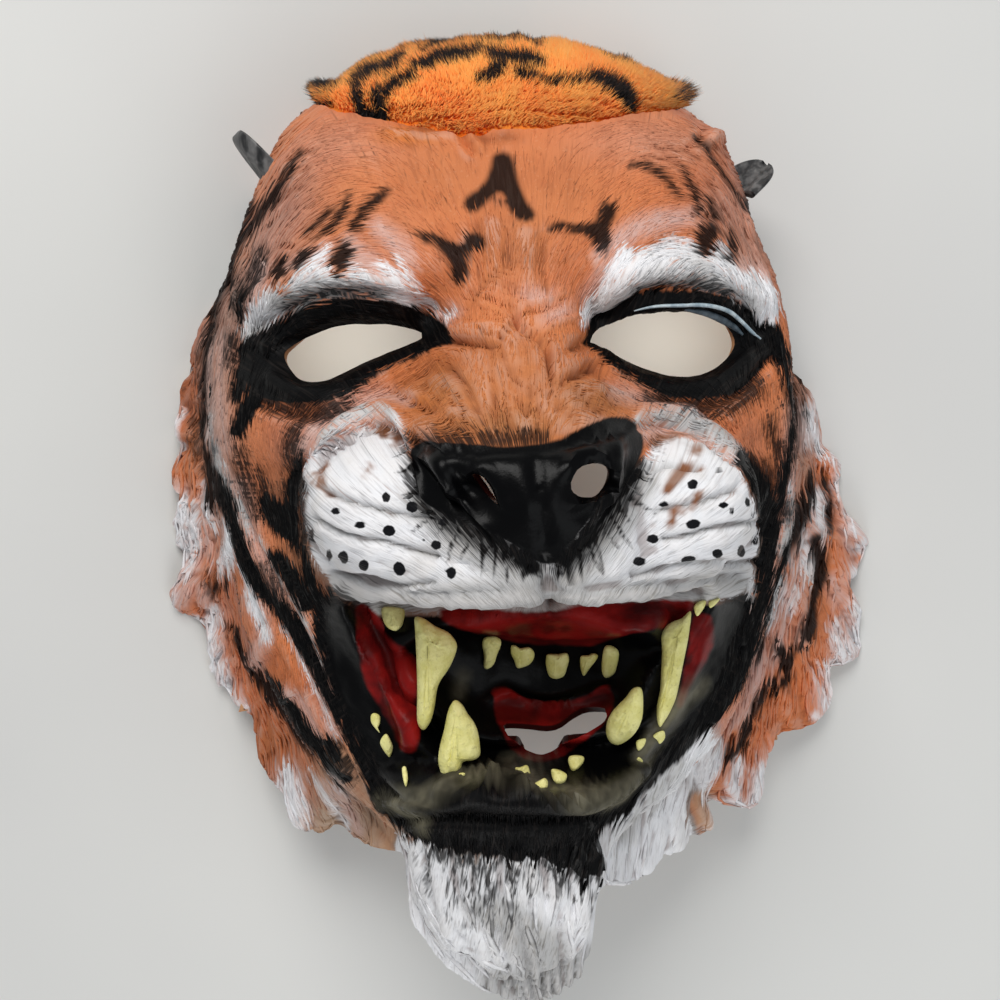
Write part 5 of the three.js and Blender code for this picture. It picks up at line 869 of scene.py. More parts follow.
def clipped(faces, f):
    """Faces where f is over 0, cut along f = 0. Returns the faces and, for each new point, its two ends and how far along it lies."""
    up = f[faces] > 0
    count = up.sum(1)
    whole = faces[count == 3]
    part, flags = faces[(count == 1) | (count == 2)], up[(count == 1) | (count == 2)]
    lone_up = flags.sum(1) == 1
    first = np.where(lone_up, np.argmax(flags, 1), np.argmin(flags, 1))
    rows = np.arange(len(part))
    a, b, c = part[rows, first], part[rows, (first + 1) % 3], part[rows, (first + 2) % 3]
    ends = np.concatenate([np.sort(np.stack([a, b], 1), 1), np.sort(np.stack([a, c], 1), 1)])
    cuts, where = np.unique(ends, axis=0, return_inverse=True)
    where = where.ravel()
    ab, ac = where[:len(a)] + len(f), where[len(a):] + len(f)
    one = np.stack([a, ab, ac], 1)[lone_up]
    m = ~lone_up
    two = np.stack([ab, b, c], 1)[m]
    three = np.stack([ab, c, ac], 1)[m]
    t = f[cuts[:, 0]] / (f[cuts[:, 0]] - f[cuts[:, 1]])
    return np.concatenate([whole, one, two, three]), cuts, np.clip(t, 0.02, 0.98)


faces, cuts, share = clipped(grid_faces(CELLS), keep)


def extend(values):
    a, b = values[cuts[:, 0]], values[cuts[:, 1]]
    t = share if values.ndim == 1 else share[:, None]
    return np.concatenate([values, a + (b - a) * t])


outer, inner = extend(P1), extend(P2)
edges = np.concatenate([faces[:, [0, 1]], faces[:, [1, 2]], faces[:, [2, 0]]])
key = np.sort(edges, 1)
_, inv, cnt = np.unique(key, axis=0, return_inverse=True, return_counts=True)
border = edges[cnt[inv.ravel()] == 1]
n_pts = len(outer)
walls = np.concatenate([np.stack([border[:, 1], border[:, 0], border[:, 0] + n_pts], 1), np.stack([border[:, 1], border[:, 0] + n_pts, border[:, 1] + n_pts], 1)])
all_faces = np.concatenate([faces, faces[:, ::-1] + n_pts, walls])
used = np.unique(all_faces)
place = np.full(2 * n_pts, -1)
place[used] = np.arange(len(used))
all_faces = place[all_faces]
all_points = np.concatenate([outer, inner])[used]
is_inner = (used >= n_pts).astype(float)
orig = np.where(used >= n_pts, used - n_pts, used)


def new_mesh(name, points, tris):
    """points in mm as drawn."""
    me = bpy.data.meshes.new(name)
    co = ((points + SHIFT) / 1000).astype(np.float32)
    me.vertices.add(len(co))
    me.vertices.foreach_set("co", co.ravel())
    me.loops.add(len(tris) * 3)
    me.loops.foreach_set("vertex_index", tris.astype(np.int32).ravel())
    me.polygons.add(len(tris))
    me.polygons.foreach_set("loop_start", np.arange(0, len(tris) * 3, 3, dtype=np.int32))
    me.update(calc_edges=True)
    me.validate()
    me.polygons.foreach_set("use_smooth", np.ones(len(me.polygons), bool))
    ob = bpy.data.objects.new(name, me)
    bpy.context.scene.collection.objects.link(ob)
    return ob


def number(me, name, values):
    me.attributes.new(name, "FLOAT", "POINT").data.foreach_set("value", np.asarray(values, np.float32))


def colour(me, name, values):
    rgba = np.concatenate([values, np.ones((len(values), 1))], 1).astype(np.float32)
    me.attributes.new(name, "FLOAT_COLOR", "POINT").data.foreach_set("color", rgba.ravel())


shell = new_mesh("latex_shell", all_points, all_faces)
me = shell.data
for name, values in (("black", black), ("soft", soft), ("white", white), ("red", red), ("grey", grey), ("wear", wear), ("dots", dots), ("gloss", gloss), ("cavity", cavity), ("bare", bare), ("beard", is_beard), ("side", is_side), ("shade", shade), ("haze", haze), ("feather", feather)):
    number(me, name, extend(values)[orig])
number(me, "under", extend((1 - bare) * (1 - 0.6 * np.exp(-(((uu - 515) / 75) ** 2) - (((vv - 385) / 55) ** 2))))[orig] * (1 - is_inner))
number(me, "inside", is_inner)
colour(me, "tone", extend(tone)[orig])

# strand coordinates, a face at a time, so that each face follows one flow
systems = [extend(c) for c in (C_FACE, C_PAD, C_MANE, C_RUFF, C_BEARD)]
pick = np.stack([np.full(len(S), 0.5), is_pad * 1.01, is_side * 1.02, is_ruff * 1.03, is_beard * 1.04], -1)
pick = extend(pick)[orig]
tri = np.zeros(len(me.loops), np.int32)
me.loops.foreach_get("vertex_index", tri)
tri = tri.reshape(-1, 3)
flow = np.argmax(pick[tri].mean(1), 1)
base = orig[tri]
coord = np.zeros((len(tri), 3, 3), np.float32)
for k, c in enumerate(systems):
    m = flow == k
    v = c[base[m]].copy()
    if k < 2:  # the way round has a seam
        wide = 2 * math.pi * 60
        d = v[:, :, 0] - v[:, :1, 0]
        v[:, :, 0] -= np.round(d / wide) * wide
    coord[m, :, :2] = v
    coord[m, :, 2] = 40.0 * k
me.attributes.new("strand", "FLOAT_VECTOR", "CORNER").data.foreach_set("vector", coord.ravel())

group = shell.vertex_groups.new(name="inner")
group.add(np.nonzero(is_inner > 0.5)[0].tolist(), 1.0, "REPLACE")
total = len(me.polygons)
if total > SHELL_TRIS:
    mod = shell.modifiers.new("fewer", "DECIMATE")
    mod.ratio = SHELL_TRIS / total
    mod.vertex_group = "inner"
    bpy.context.view_layer.update()
    done = bpy.data.meshes.new_from_object(shell.evaluated_get(bpy.context.evaluated_depsgraph_get()))
    shell.modifiers.clear()
    shell.data = done
    done.name = "latex_shell"
me = shell.data
me.set_sharp_from_angle(angle=math.radians(62))
print("shell triangles", len(me.polygons))

# ---- materials ------------------------------------------------------------------------------------------------
class Nodes:
    def __init__(self, name):
        self.mat = bpy.data.materials.new(name)
        self.mat.use_nodes = True
        self.tree = self.mat.node_tree
        self.tree.nodes.clear()
        self.out = self.tree.nodes.new("ShaderNodeOutputMaterial")
        self.bsdf = self.tree.nodes.new("ShaderNodeBsdfPrincipled")
        self.tree.links.new(self.bsdf.outputs[0], self.out.inputs[0])

    def put(self, socket, value):
        if isinstance(value, (int, float)):
            socket.default_value = value
        elif isinstance(value, (tuple, list, np.ndarray)):
            v = [float(x) for x in value]
            socket.default_value = v + [1.0] if len(v) == 3 and len(socket.default_value) == 4 else v
        else:
            self.tree.links.new(value, socket)

    def set(self, name, value):
        self.put(self.bsdf.inputs[name], value)

    def attr(self, name, out="Fac"):
        n = self.tree.nodes.new("ShaderNodeAttribute")
        n.attribute_name = name
        return n.outputs[out]

    def math(self, op, a, b=0.0, c=0.0, clamp=False):
        n = self.tree.nodes.new("ShaderNodeMath")
        n.operation, n.use_clamp = op, clamp
        for s, v in zip(n.inputs, (a, b, c)):
            self.put(s, v)
        return n.outputs[0]

    def range(self, value, lo, hi, to_lo=0.0, to_hi=1.0, smooth=True):
        n = self.tree.nodes.new("ShaderNodeMapRange")
        n.interpolation_type = "SMOOTHSTEP" if smooth else "LINEAR"
        for s, v in zip(n.inputs[:5], (value, lo, hi, to_lo, to_hi)):
            self.put(s, v)
        return n.outputs[0]

    def mix(self, fac, a, b, blend="MIX"):
        n = self.tree.nodes.new("ShaderNodeMix")
        n.data_type, n.blend_type = "RGBA", blend
        self.put(n.inputs[0], fac)
        self.put(n.inputs[6], a)
        self.put(n.inputs[7], b)
        return n.outputs[2]

    def scaled(self, vector, scale, shift=(0, 0, 0)):
        n = self.tree.nodes.new("ShaderNodeMapping")
        self.put(n.inputs["Vector"], vector)
        n.inputs["Scale"].default_value = scale
        n.inputs["Location"].default_value = shift
        return n.outputs[0]

    def noise(self, vector, scale=1.0, detail=2.0, rough=0.5, distortion=0.0):
        n = self.tree.nodes.new("ShaderNodeTexNoise")
        n.noise_dimensions = "3D"
        self.put(n.inputs["Vector"], vector)
        n.inputs["Scale"].default_value = scale
        n.inputs["Detail"].default_value = detail
        n.inputs["Roughness"].default_value = rough
        n.inputs["Distortion"].default_value = distortion
        return n.outputs[0]

    def bump(self, height, distance, strength=1.0, normal=None):
        n = self.tree.nodes.new("ShaderNodeBump")
        n.inputs["Distance"].default_value = distance
        self.put(n.inputs["Strength"], strength)
        self.put(n.inputs["Height"], height)
        if normal is not None:
            self.put(n.inputs["Normal"], normal)
        return n.outputs[0]

    def object_coords(self):
        return self.tree.nodes.new("ShaderNodeTexCoord").outputs["Object"]


def latex_material():
    m = Nodes("painted_latex")
    st = m.attr("strand", "Vector")
    own = m.object_coords()
    fine = m.noise(m.scaled(st, (1.15, 0.13, 1)), 1.0, 2.0, 0.55, 0.3)
    wide = m.noise(m.scaled(st, (0.34, 0.045, 1), (7, 3, 0)), 1.0, 1.0, 0.5, 0.4)
    mottle = m.noise(own, 60.0, 3.0, 0.6)
    blotch = m.noise(own, 22.0, 2.0, 0.5)
    speck = m.noise(own, 900.0, 2.0, 0.6)
    black, soft, white, cav = m.attr("black"), m.attr("soft"), m.attr("white"), m.attr("cavity")
    bare, inside, under, shade = m.attr("bare"), m.attr("inside"), m.attr("under"), m.attr("shade")
    hair = m.math("SUBTRACT", 1.0, bare)
    # groove and lifted follow the dips and crests of the fine strands that the bump raises; the colour is darkened in
    # the dips and lightened on the crests below, a washed and dry-brushed finish and painted shade and highlight as
    # well
    groove = m.range(fine, 0.50, 0.30)
    lifted = m.range(fine, 0.50, 0.68)
    skin = m.mix(m.math("MULTIPLY", groove, m.math("MULTIPLY", 0.26, hair)), m.attr("tone", "Color"), srgb(118, 62, 40))
    skin = m.mix(m.math("MULTIPLY", m.range(mottle, 0.42, 0.7), 0.22), skin, srgb(150, 84, 58))
    skin = m.mix(m.math("MULTIPLY", m.range(blotch, 0.45, 0.62), 0.25), skin, srgb(224, 144, 96))
    skin = m.mix(m.math("MULTIPLY", m.range(speck, 0.58, 0.72), 0.10), skin, srgb(246, 196, 160))
    # white, thin at its edges where it catches the raised strands first
    w = m.math("ADD", white, m.math("MULTIPLY", m.math("SUBTRACT", fine, 0.5), 0.9))
    w = m.math("ADD", w, m.math("MULTIPLY", m.math("SUBTRACT", wide, 0.5), 0.5))
    w = m.math("ADD", w, m.math("MULTIPLY", m.math("SUBTRACT", mottle, 0.5), 0.35))
    w = m.math("SUBTRACT", w, m.math("MULTIPLY", under, 0.06))
    w = m.mix(m.attr("side"), m.range(w, 0.30, 0.80), m.range(w, 0.16, 1.06))
    pale = m.math("MULTIPLY", m.attr("haze"), m.range(m.math("ADD", m.math("MULTIPLY", fine, 0.7), m.math("MULTIPLY", wide, 0.5)), 0.36, 0.74, 0.38, 1.0))
    pale = m.math("MULTIPLY", pale, 0.88)
    chalk = m.mix(m.math("MULTIPLY", groove, 0.40), srgb(238, 238, 241), srgb(160, 156, 156))
    chalk = m.mix(m.math("MULTIPLY", m.range(mottle, 0.50, 0.66), 0.18), chalk, srgb(200, 190, 176))
    chalk = m.mix(m.math("MULTIPLY", m.attr("beard"), 0.3), chalk, srgb(252, 252, 253))
    # shade greys the white: grey paint, and painted shade under the brows, in the pads' creases and lower rims and over
    # the lower beard
    dull = m.math("MULTIPLY", shade, m.math("ADD", 0.52, m.math("MULTIPLY", groove, 0.3)))
    chalk = m.mix(dull, chalk, srgb(122, 119, 112))
    col = m.mix(pale, skin, srgb(216, 184, 176))
    col = m.mix(w, col, chalk)
    col = m.mix(m.math("MULTIPLY", m.attr("wear"), m.range(mottle, 0.38, 0.52)), col, srgb(138, 90, 62))
    # black
    k = m.math("ADD", black, m.math("MULTIPLY", m.math("SUBTRACT", fine, 0.5), m.math("MULTIPLY", 6.5, hair)))
    k = m.range(k, -2.4, 1.6)
    misty = m.range(m.math("ADD", black, m.math("MULTIPLY", m.math("SUBTRACT", fine, 0.5), 5.0)), -4.6, 3.6)
    k = m.mix(m.attr("feather"), k, m.math("MULTIPLY", misty, 0.96))
    veil = m.range(m.math("ADD", soft, m.math("MULTIPLY", m.math("SUBTRACT", fine, 0.5), 2.6)), 0.20, 1.0)
    k = m.math("MAXIMUM", k, m.math("MULTIPLY", veil, m.math("SUBTRACT", 0.93, m.math("MULTIPLY", m.attr("side"), 0.22))))
    ink = m.mix(m.math("MULTIPLY", lifted, m.math("MULTIPLY", 0.22, hair)), srgb(5, 5, 6), srgb(62, 54, 50))
    # ridges are lightened and grooves darkened before the black goes on: a dry-brushed and washed paint finish, and
    # painted highlight on the ridges and painted shade in the grooves as well
    col = m.mix(m.math("MULTIPLY", m.range(cav, 0.04, 0.6), 0.60), col, m.mix(1.0, col, (0.34, 0.26, 0.24), "MULTIPLY"))
    col = m.mix(m.math("MULTIPLY", m.range(cav, -0.05, -0.6), 0.13), col, srgb(246, 236, 228))
    col = m.mix(k, col, ink)
    dab = m.range(m.math("ADD", m.attr("dots"), m.math("MULTIPLY", m.math("SUBTRACT", mottle, 0.5), 1.2)), -0.7, 0.5)
    col = m.mix(dab, col, srgb(16, 16, 20))
    # mouth
    r = m.range(m.math("ADD", m.attr("red"), m.math("MULTIPLY", m.math("SUBTRACT", mottle, 0.5), 9.0)), -2.5, 2.0)
    blood = m.mix(m.range(mottle, 0.35, 0.65), srgb(88, 15, 16), srgb(142, 24, 22))
    # the red is darkened in the grooves too: a dark wash, and painted shade in the mouth's hollows
    blood = m.mix(m.math("MULTIPLY", m.range(cav, 0.0, 0.5), 0.6), blood, srgb(36, 8, 9))
    col = m.mix(r, col, blood)
    # the grey on the lip roll and jaw: dry-brushed paint, and a painted highlight along the roll
    col = m.mix(m.math("MULTIPLY", m.attr("grey"), m.range(mottle, 0.34, 0.62, 0.25, 0.95)), col, srgb(122, 117, 98))
    raw = m.mix(m.range(mottle, 0.35, 0.65), srgb(206, 160, 120), srgb(184, 132, 94))
    raw = m.mix(bare, raw, srgb(48, 14, 13))
    col = m.mix(m.range(inside, 0.02, 0.30), col, raw)
    m.set("Base Color", col)
    rough = m.math("ADD", 0.50, m.math("MULTIPLY", m.math("SUBTRACT", mottle, 0.5), 0.24))
    rough = m.math("SUBTRACT", rough, m.math("MULTIPLY", m.attr("gloss"), 0.20))
    rough = m.math("SUBTRACT", rough, m.math("MULTIPLY", m.math("MULTIPLY", w, 0.06), hair))
    m.set("Roughness", rough)
    lift = m.math("ADD", m.math("MULTIPLY", fine, m.math("MULTIPLY", hair, 0.7)), m.math("MULTIPLY", m.math("ADD", mottle, m.math("MULTIPLY", speck, 0.30)), 0.35))
    m.set("Normal", m.bump(lift, 0.0009, 0.75))
    m.bsdf.inputs["IOR"].default_value = 1.42
    m.bsdf.inputs["Specular IOR Level"].default_value = 0.13
    return m.mat


LATEX_MAT = latex_material()
shell.data.materials.append(LATEX_MAT)

# ---- sculpted hair: low ridges laid along the lie of the coat ---------------------------------------------------
guide = [(a, b, c / math.hypot(c, d), d / math.hypot(c, d)) for a, b, c, d in LIE]
for _, course in CLUMPS + MANE:
    line = spline([(a, b, 0) for a, b, _r in course], 2)[:, :2]
    step = np.diff(line, axis=0)
    for p_, d_ in zip((line[:-1] + line[1:]) / 2, step / (np.linalg.norm(step, axis=1, keepdims=True) + 1e-9)):
        guide.append((p_[0], p_[1], d_[0], d_[1]))
guide = np.array(guide)
way = np.zeros((len(S), 2))
for lo_ in range(0, len(S), 6000):
    sl = slice(lo_, lo_ + 6000)
    d2 = (u0[sl, None] - guide[None, :, 0]) ** 2 + (v0[sl, None] - guide[None, :, 1]) ** 2
    wt = np.exp(-d2 / (2 * 22.0**2)) + 40.0 / (d2 + 900.0) ** 1.5
    way[sl] = wt @ guide[:, 2:4]
way /= np.linalg.norm(way, axis=1, keepdims=True) + 1e-9
lie = way[:, :1] * RIGHT - way[:, 1:] * UP
out_way = face_point(np.minimum(S + 0.02, 1.02), ANG) - face_point(S - 0.01, ANG)
out_way /= np.linalg.norm(out_way, axis=1, keepdims=True) + 1e-9
ca, sa = np.cos(np.radians(ANG)), np.sin(np.radians(ANG))
chin = np.stack([sa, -ca, np.zeros(len(S))], -1) * np.where(np.abs(ANG) > 90, -1.0, 1.0)[:, None]
back_way = out_way + 0.45 * chin + 0.5 * (noise(psi * 0.12, S * 14, 71) - 0.5)[:, None] * chin
t_ = sm(-0.02, 0.30, facing)[:, None]
lie = lie * t_ + back_way * (1 - t_)
lie = lie - N1 * (lie * N1).sum(1, keepdims=True)
M = CELLS + 1
Ti = np.gradient(P1.reshape(M, M, 3), axis=1).reshape(-1, 3)
Tj = np.gradient(P1.reshape(M, M, 3), axis=0).reshape(-1, 3)
a11, a12, a22 = (Ti * Ti).sum(1), (Ti * Tj).sum(1), (Tj * Tj).sum(1)
b1, b2 = (Ti * lie).sum(1), (Tj * lie).sum(1)
det = a11 * a22 - a12**2 + 1e-4
si, sj = (b1 * a22 - b2 * a12) / det, (a11 * b2 - a12 * b1) / det
size_ = np.linalg.norm(Ti * si[:, None] + Tj * sj[:, None], axis=1) + 1e-3
step_ij = np.clip(np.stack([si, sj], -1) / size_[:, None], -2.5, 2.5)

bridge = np.exp(-(((uu - 515) / 75) ** 2) - (((vv - 385) / 55) ** 2))
liner = sm(-2, 6, F.mask(areas=BLACK_AREAS[:2]))
bald = sm(-6, 6, F.mask(areas=TAN_AREAS))
brow_w = np.clip(brow, 0, 1)
temple = np.clip(np.exp(-(((uu - 282) / 44) ** 2) - (((vv - 195) / 80) ** 2)) + np.exp(-(((uu - 736) / 42) ** 2) - (((vv - 190) / 80) ** 2)), 0, 1) * (1 - is_side)
plain = np.exp(-(((uu - 500) / 110) ** 4) - (((vv - 175) / 70) ** 4)) * (1 - brow_w)
upper_band = sm(-8, 2, F.mask(PAD_BAND))
LONG = 6.0 + 4.0 * brow_w + 8.0 * is_side + 1.0 * is_ruff + 14.0 * is_beard - 1.0 * is_pad - 1.0 * bridge + 4.0 * temple
WIDE = 0.78 + 0.25 * brow_w + 0.5 * is_side + 0.25 * is_ruff + 1.0 * is_beard + 0.5 * is_pad + 0.5 * temple
TALL = 0.20 + 0.24 * brow_w + 0.36 * is_side + 0.12 * is_ruff + 0.62 * is_beard + 0.10 * is_pad - 0.05 * bridge + 0.22 * temple - 0.07 * plain
thick = (1 - bare) * (1 - 0.8 * bridge) * (1 - 0.7 * liner) * (1 - 0.8 * bald) * (1 - is_pad) * (1 - 0.75 * upper_band) * (1 - 0.9 * plain)
thick = thick * (1 - sm(-3, 0, dots)) * (1 - 0.8 * np.clip(crease, 0, 1)) * (1 - 0.86 * is_beard) * (1 - 0.55 * is_ruff)
thick = thick * np.where((y0 > 60) & (notch > -5), 0.0, 1.0) * np.where(open_at > -5, 0.0, 1.0)
TALL = TALL * (1 - 0.4 * liner)


def grid(a):
    return a.reshape((M, M) + a.shape[1:])


def pick(a, i, j):
    i, j = np.clip(i, 0, CELLS - 1e-3), np.clip(j, 0, CELLS - 1e-3)
    c, r = i.astype(int), j.astype(int)
    f, g = i - c, j - r
    if a.ndim > 2:
        f, g = f[..., None], g[..., None]
    return (a[r, c] * (1 - f) + a[r, c + 1] * f) * (1 - g) + (a[r + 1, c] * (1 - f) + a[r + 1, c + 1] * f) * g


G_P, G_N, G_STEP, G_KEEP = grid(P1), grid(N1), grid(step_ij), grid(keep)
carried = ("black", "soft", "white", "red", "grey", "wear", "dots", "gloss", "bare", "beard", "side", "shade", "haze", "feather")
G_VAL = grid(np.stack([black, soft, white, red, grey, wear, dots, gloss, bare, is_beard, is_side, shade, haze, feather], -1))
G_TONE = grid(tone)


def lay_hair():
    rng = np.random.default_rng(5)
    area = np.linalg.norm(np.cross(Ti, Tj), axis=1)
    chance = area * thick / (LONG * WIDE)
    chance[(grid(np.arange(len(S)))[-1]).ravel()] = 0
    chance = chance / chance.sum()
    seed_ = rng.choice(len(S), size=int(HAIRS * 1.15), p=chance)
    i, j = (seed_ % M) + rng.uniform(-0.5, 0.5, len(seed_)), (seed_ // M) + rng.uniform(-0.5, 0.5, len(seed_))
    length = pick(grid(LONG), i, j) * rng.uniform(0.7, 1.35, len(i))
    wide = pick(grid(WIDE), i, j) * rng.uniform(0.75, 1.35, len(i))
    tall = pick(grid(TALL), i, j) * rng.uniform(0.6, 1.4, len(i))
    path = [(i, j)]
    bend = rng.normal(0, 0.10, len(i))
    for k in range(4):
        for _ in range(2):
            d = pick(G_STEP, i, j)
            turn = bend * (k - 1.5) * 0.5
            d = np.stack([d[:, 0] - turn * d[:, 1], d[:, 1] + turn * d[:, 0]], -1)
            i = np.clip(i + d[:, 0] * length / 8, 0, CELLS)
            j = np.clip(j + d[:, 1] * length / 8, 0, CELLS)
        path.append((i, j))
    I, J = np.stack([p[0] for p in path], 1), np.stack([p[1] for p in path], 1)
    pos, nrm = pick(G_P, I, J), pick(G_N, I, J)
    nrm /= np.linalg.norm(nrm, axis=-1, keepdims=True) + 1e-9
    run = np.linalg.norm(np.diff(pos, axis=1), axis=-1)
    span = run.sum(1)
    ok = (pick(G_KEEP, I, J).min(1) > 2.0) & (span > 0.35 * length) & (span < 1.9 * length) & (pick(grid(bare), I, J).max(1) < 0.45) & (pos[..., 2].min(1) > 0.4)
    ok &= (nrm[:, 1:] * nrm[:, :-1]).sum(-1).min(1) > 0.6
    ok = np.nonzero(ok)[0][:HAIRS]
    I, J, pos, nrm, wide, tall = I[ok], J[ok], pos[ok], nrm[ok], wide[ok], tall[ok]
    n = len(ok)
    d = np.stack([pos[:, min(k + 1, 4)] - pos[:, max(k - 1, 0)] for k in range(5)], 1)
    d /= np.linalg.norm(d, axis=-1, keepdims=True) + 1e-9
    # locks stand free past the cut edge a little
    edge_w = pick(grid(is_ruff), I[:, 4], J[:, 4]) * rng.uniform(0, 1, n)
    pos[:, 4] = pos[:, 4] + d[:, 4] * (edge_w * 0.8)[:, None]
    side = np.cross(d, nrm)
    side /= np.linalg.norm(side, axis=-1, keepdims=True) + 1e-9
    pts = np.zeros((n, 11, 3))
    pts[:, 0] = pos[:, 0] - nrm[:, 0] * 0.15
    pts[:, 10] = pos[:, 4] + nrm[:, 4] * (0.02 + 0.1 * tall)[:, None]
    for k, (ws, hs) in enumerate(((0.8, 0.8), (1.0, 1.0), (0.68, 0.78)), 1):
        w = (wide * ws / 2)[:, None]
        pts[:, 3 * k - 2] = pos[:, k] - side[:, k] * w - nrm[:, k] * 0.12
        pts[:, 3 * k - 1] = pos[:, k] + nrm[:, k] * (tall * hs)[:, None]
        pts[:, 3 * k] = pos[:, k] + side[:, k] * w - nrm[:, k] * 0.12
    pts[..., 2] = np.maximum(pts[..., 2], 0.15)
    t = [(0, 2, 1), (0, 3, 2), (0, 1, 3), (7, 8, 10), (8, 9, 10), (9, 7, 10)]
    for a in (1, 4):
        for p_, q_ in ((0, 1), (1, 2), (2, 0)):
            t += [(a + p_, a + q_, a + 3 + q_), (a + p_, a + 3 + q_, a + 3 + p_)]
    t = np.array(t)
    # paint is taken from nearer the root, so that its edges run out along the hair
    back = np.array([0.0, 0.55, 1.15, 1.8, 2.5])
    lo_i = back.astype(int)
    fr = back - lo_i
    BI = I[:, lo_i] * (1 - fr) + I[:, np.minimum(lo_i + 1, 4)] * fr
    BJ = J[:, lo_i] * (1 - fr) + J[:, np.minimum(lo_i + 1, 4)] * fr
    val, tn = pick(G_VAL, BI, BJ), pick(G_TONE, BI, BJ)
    val[..., 0] += rng.normal(0, 1.5, n)[:, None]
    val[..., 2] += rng.normal(0, 0.10, n)[:, None] * sm(0.05, 0.3, val[..., 2])
    tn = tn * rng.uniform(0.84, 1.12, n)[:, None, None]
    where = [0, 1, 1, 1, 2, 2, 2, 3, 3, 3, 4]
    cav = np.array([0.15] + [0.34, -0.42, 0.34] * 3 + [0.0])
    strand_ = np.stack([rng.uniform(0, 400, n)[:, None] + np.zeros((n, 5)), np.cumsum(np.concatenate([np.zeros((n, 1)), np.linalg.norm(np.diff(pos, axis=1), axis=-1)], 1), 1), np.full((n, 5), 300.0)], -1)
    made = []
    third = (n + 2) // 3
    for part_ in range(3):
        sl = slice(part_ * third, min((part_ + 1) * third, n))
        m = sl.stop - sl.start
        tris = (t[None] + 11 * np.arange(m)[:, None, None]).reshape(-1, 3)
        ob = new_mesh("sculpted_hair_" + "abc"[part_], pts[sl].reshape(-1, 3), tris)
        for c_, name in enumerate(carried):
            number(ob.data, name, val[sl][:, where, c_].ravel())
        number(ob.data, "cavity", (cav[None] * np.clip(tall[sl] / 0.42, 0.15, 1.2)[:, None]).ravel())
        number(ob.data, "inside", np.zeros(m * 11))
        number(ob.data, "under", np.zeros(m * 11))
        colour(ob.data, "tone", tn[sl][:, where].reshape(-1, 3))
        ob.data.attributes.new("strand", "FLOAT_VECTOR", "POINT").data.foreach_set("vector", strand_[sl][:, where].astype(np.float32).ravel())
        ob.data.materials.append(LATEX_MAT)
        made.append(ob)
    print("hairs", n)
    return made


hair_objects = lay_hair()


# ---- teeth ------------------------------------------------------------------------------------------------------
on_face = np.nonzero((S < 0.7) & (facing > 0.02))[0]
tree = kdtree.KDTree(len(on_face))
for k, i in enumerate(on_face):
    tree.insert((u0[i], v0[i], 0.0), k)
tree.balance()


def depth_at(u, v):
    """Height of the surface behind a point of the front view."""
    near = tree.find_n((u, v, 0.0), 4)
    w = np.array([1 / (d + 0.2) for _, _, d in near])
    return float((w * np.array([P1[on_face[k], 2] for _, k, _ in near])).sum() / w.sum())


def unproject(uv, z):
    d = -OUT + ((uv[:, :1] - 500) / LENS) * RIGHT + ((500 - uv[:, 1:2]) / LENS) * UP
    return EYE + d * ((z - EYE[2]) / d[:, 2])[:, None]


def tooth(outline, root, tip, lift_root, lift_tip, bulge, seed):
    edge = spline(outline, 3, closed=True)
    root, tip = np.array(root, float), np.array(tip, float)
    axis = tip - root
    za, zb = depth_at(*root) + lift_root, depth_at(*tip) + lift_tip
    zb = min(max(za - 2.0, zb), za + 3.5)
    over = max([depth_at(*(root + axis * t)) + 0.8 - (za + (zb - za) * t) for t in (0.2, 0.4, 0.6, 0.8)] + [0.0])
    za, zb = za + min(over, 5.0), zb + min(over, 5.0)
    rng = np.random.default_rng(seed)
    ph = rng.uniform(0, 6.28, 6)
    along = np.clip(((edge - root) @ axis) / (axis @ axis), -0.1, 1.1)
    spine = root + axis * np.clip(along, 0.18, 0.82)[:, None]
    full = np.clip(((edge - root) @ axis) / (axis @ axis), 0, 1)
    rings, n = [], len(edge)

    def ring_at(f, dz):
        uv = spine + (edge - spine) * f
        t = np.clip(((uv - root) @ axis) / (axis @ axis), 0, 1)
        z = za + (zb - za) * t + dz
        if f < 0.97:
            z = z + 0.14 * bulge * (np.sin(uv[:, 0] * 0.55 + ph[0]) * np.sin(uv[:, 1] * 0.33 + ph[1]) + 0.6 * np.sin(uv[:, 0] * 1.3 + uv[:, 1] * 0.9 + ph[2])) * (1 - f)
        return unproject(uv, z)
    for f, dz in ((0.8, -5.0), (0.97, -1.6), (1.0, -0.4)):
        rings.append(ring_at(f, dz))
    for f in (0.985, 0.94, 0.86, 0.74, 0.58, 0.4, 0.24):
        rings.append(ring_at(f, bulge * (1 - f**2.6) ** 0.6))
    pts = np.concatenate(rings)
    tris = []
    for r in range(len(rings) - 1):
        for c in range(n):
            a, b = r * n + c, r * n + (c + 1) % n
            tris += [(a, b, b + n), (a, b + n, a + n)]
    last = (len(rings) - 1) * n
    for c in range(1, n - 1):
        tris += [(0, c + 1, c), (last, last + c, last + c + 1)]
    return pts, np.array(tris)


def volume(p, t):
    return (np.cross(p[t[:, 0]], p[t[:, 1]]) * p[t[:, 2]]).sum() / 6


def joined(name, parts, extra=None):
    pts, tris, n = [], [], 0
    for p, t in parts:
        if volume(p - p.mean(0), t) < 0:
            t = t[:, ::-1]
        pts.append(p)
        tris.append(t + n)
        n += len(p)
    return new_mesh(name, np.concatenate(pts), np.concatenate(tris))


teeth = joined("teeth", [tooth(*row, 100 + i) for i, row in enumerate(TEETH)])


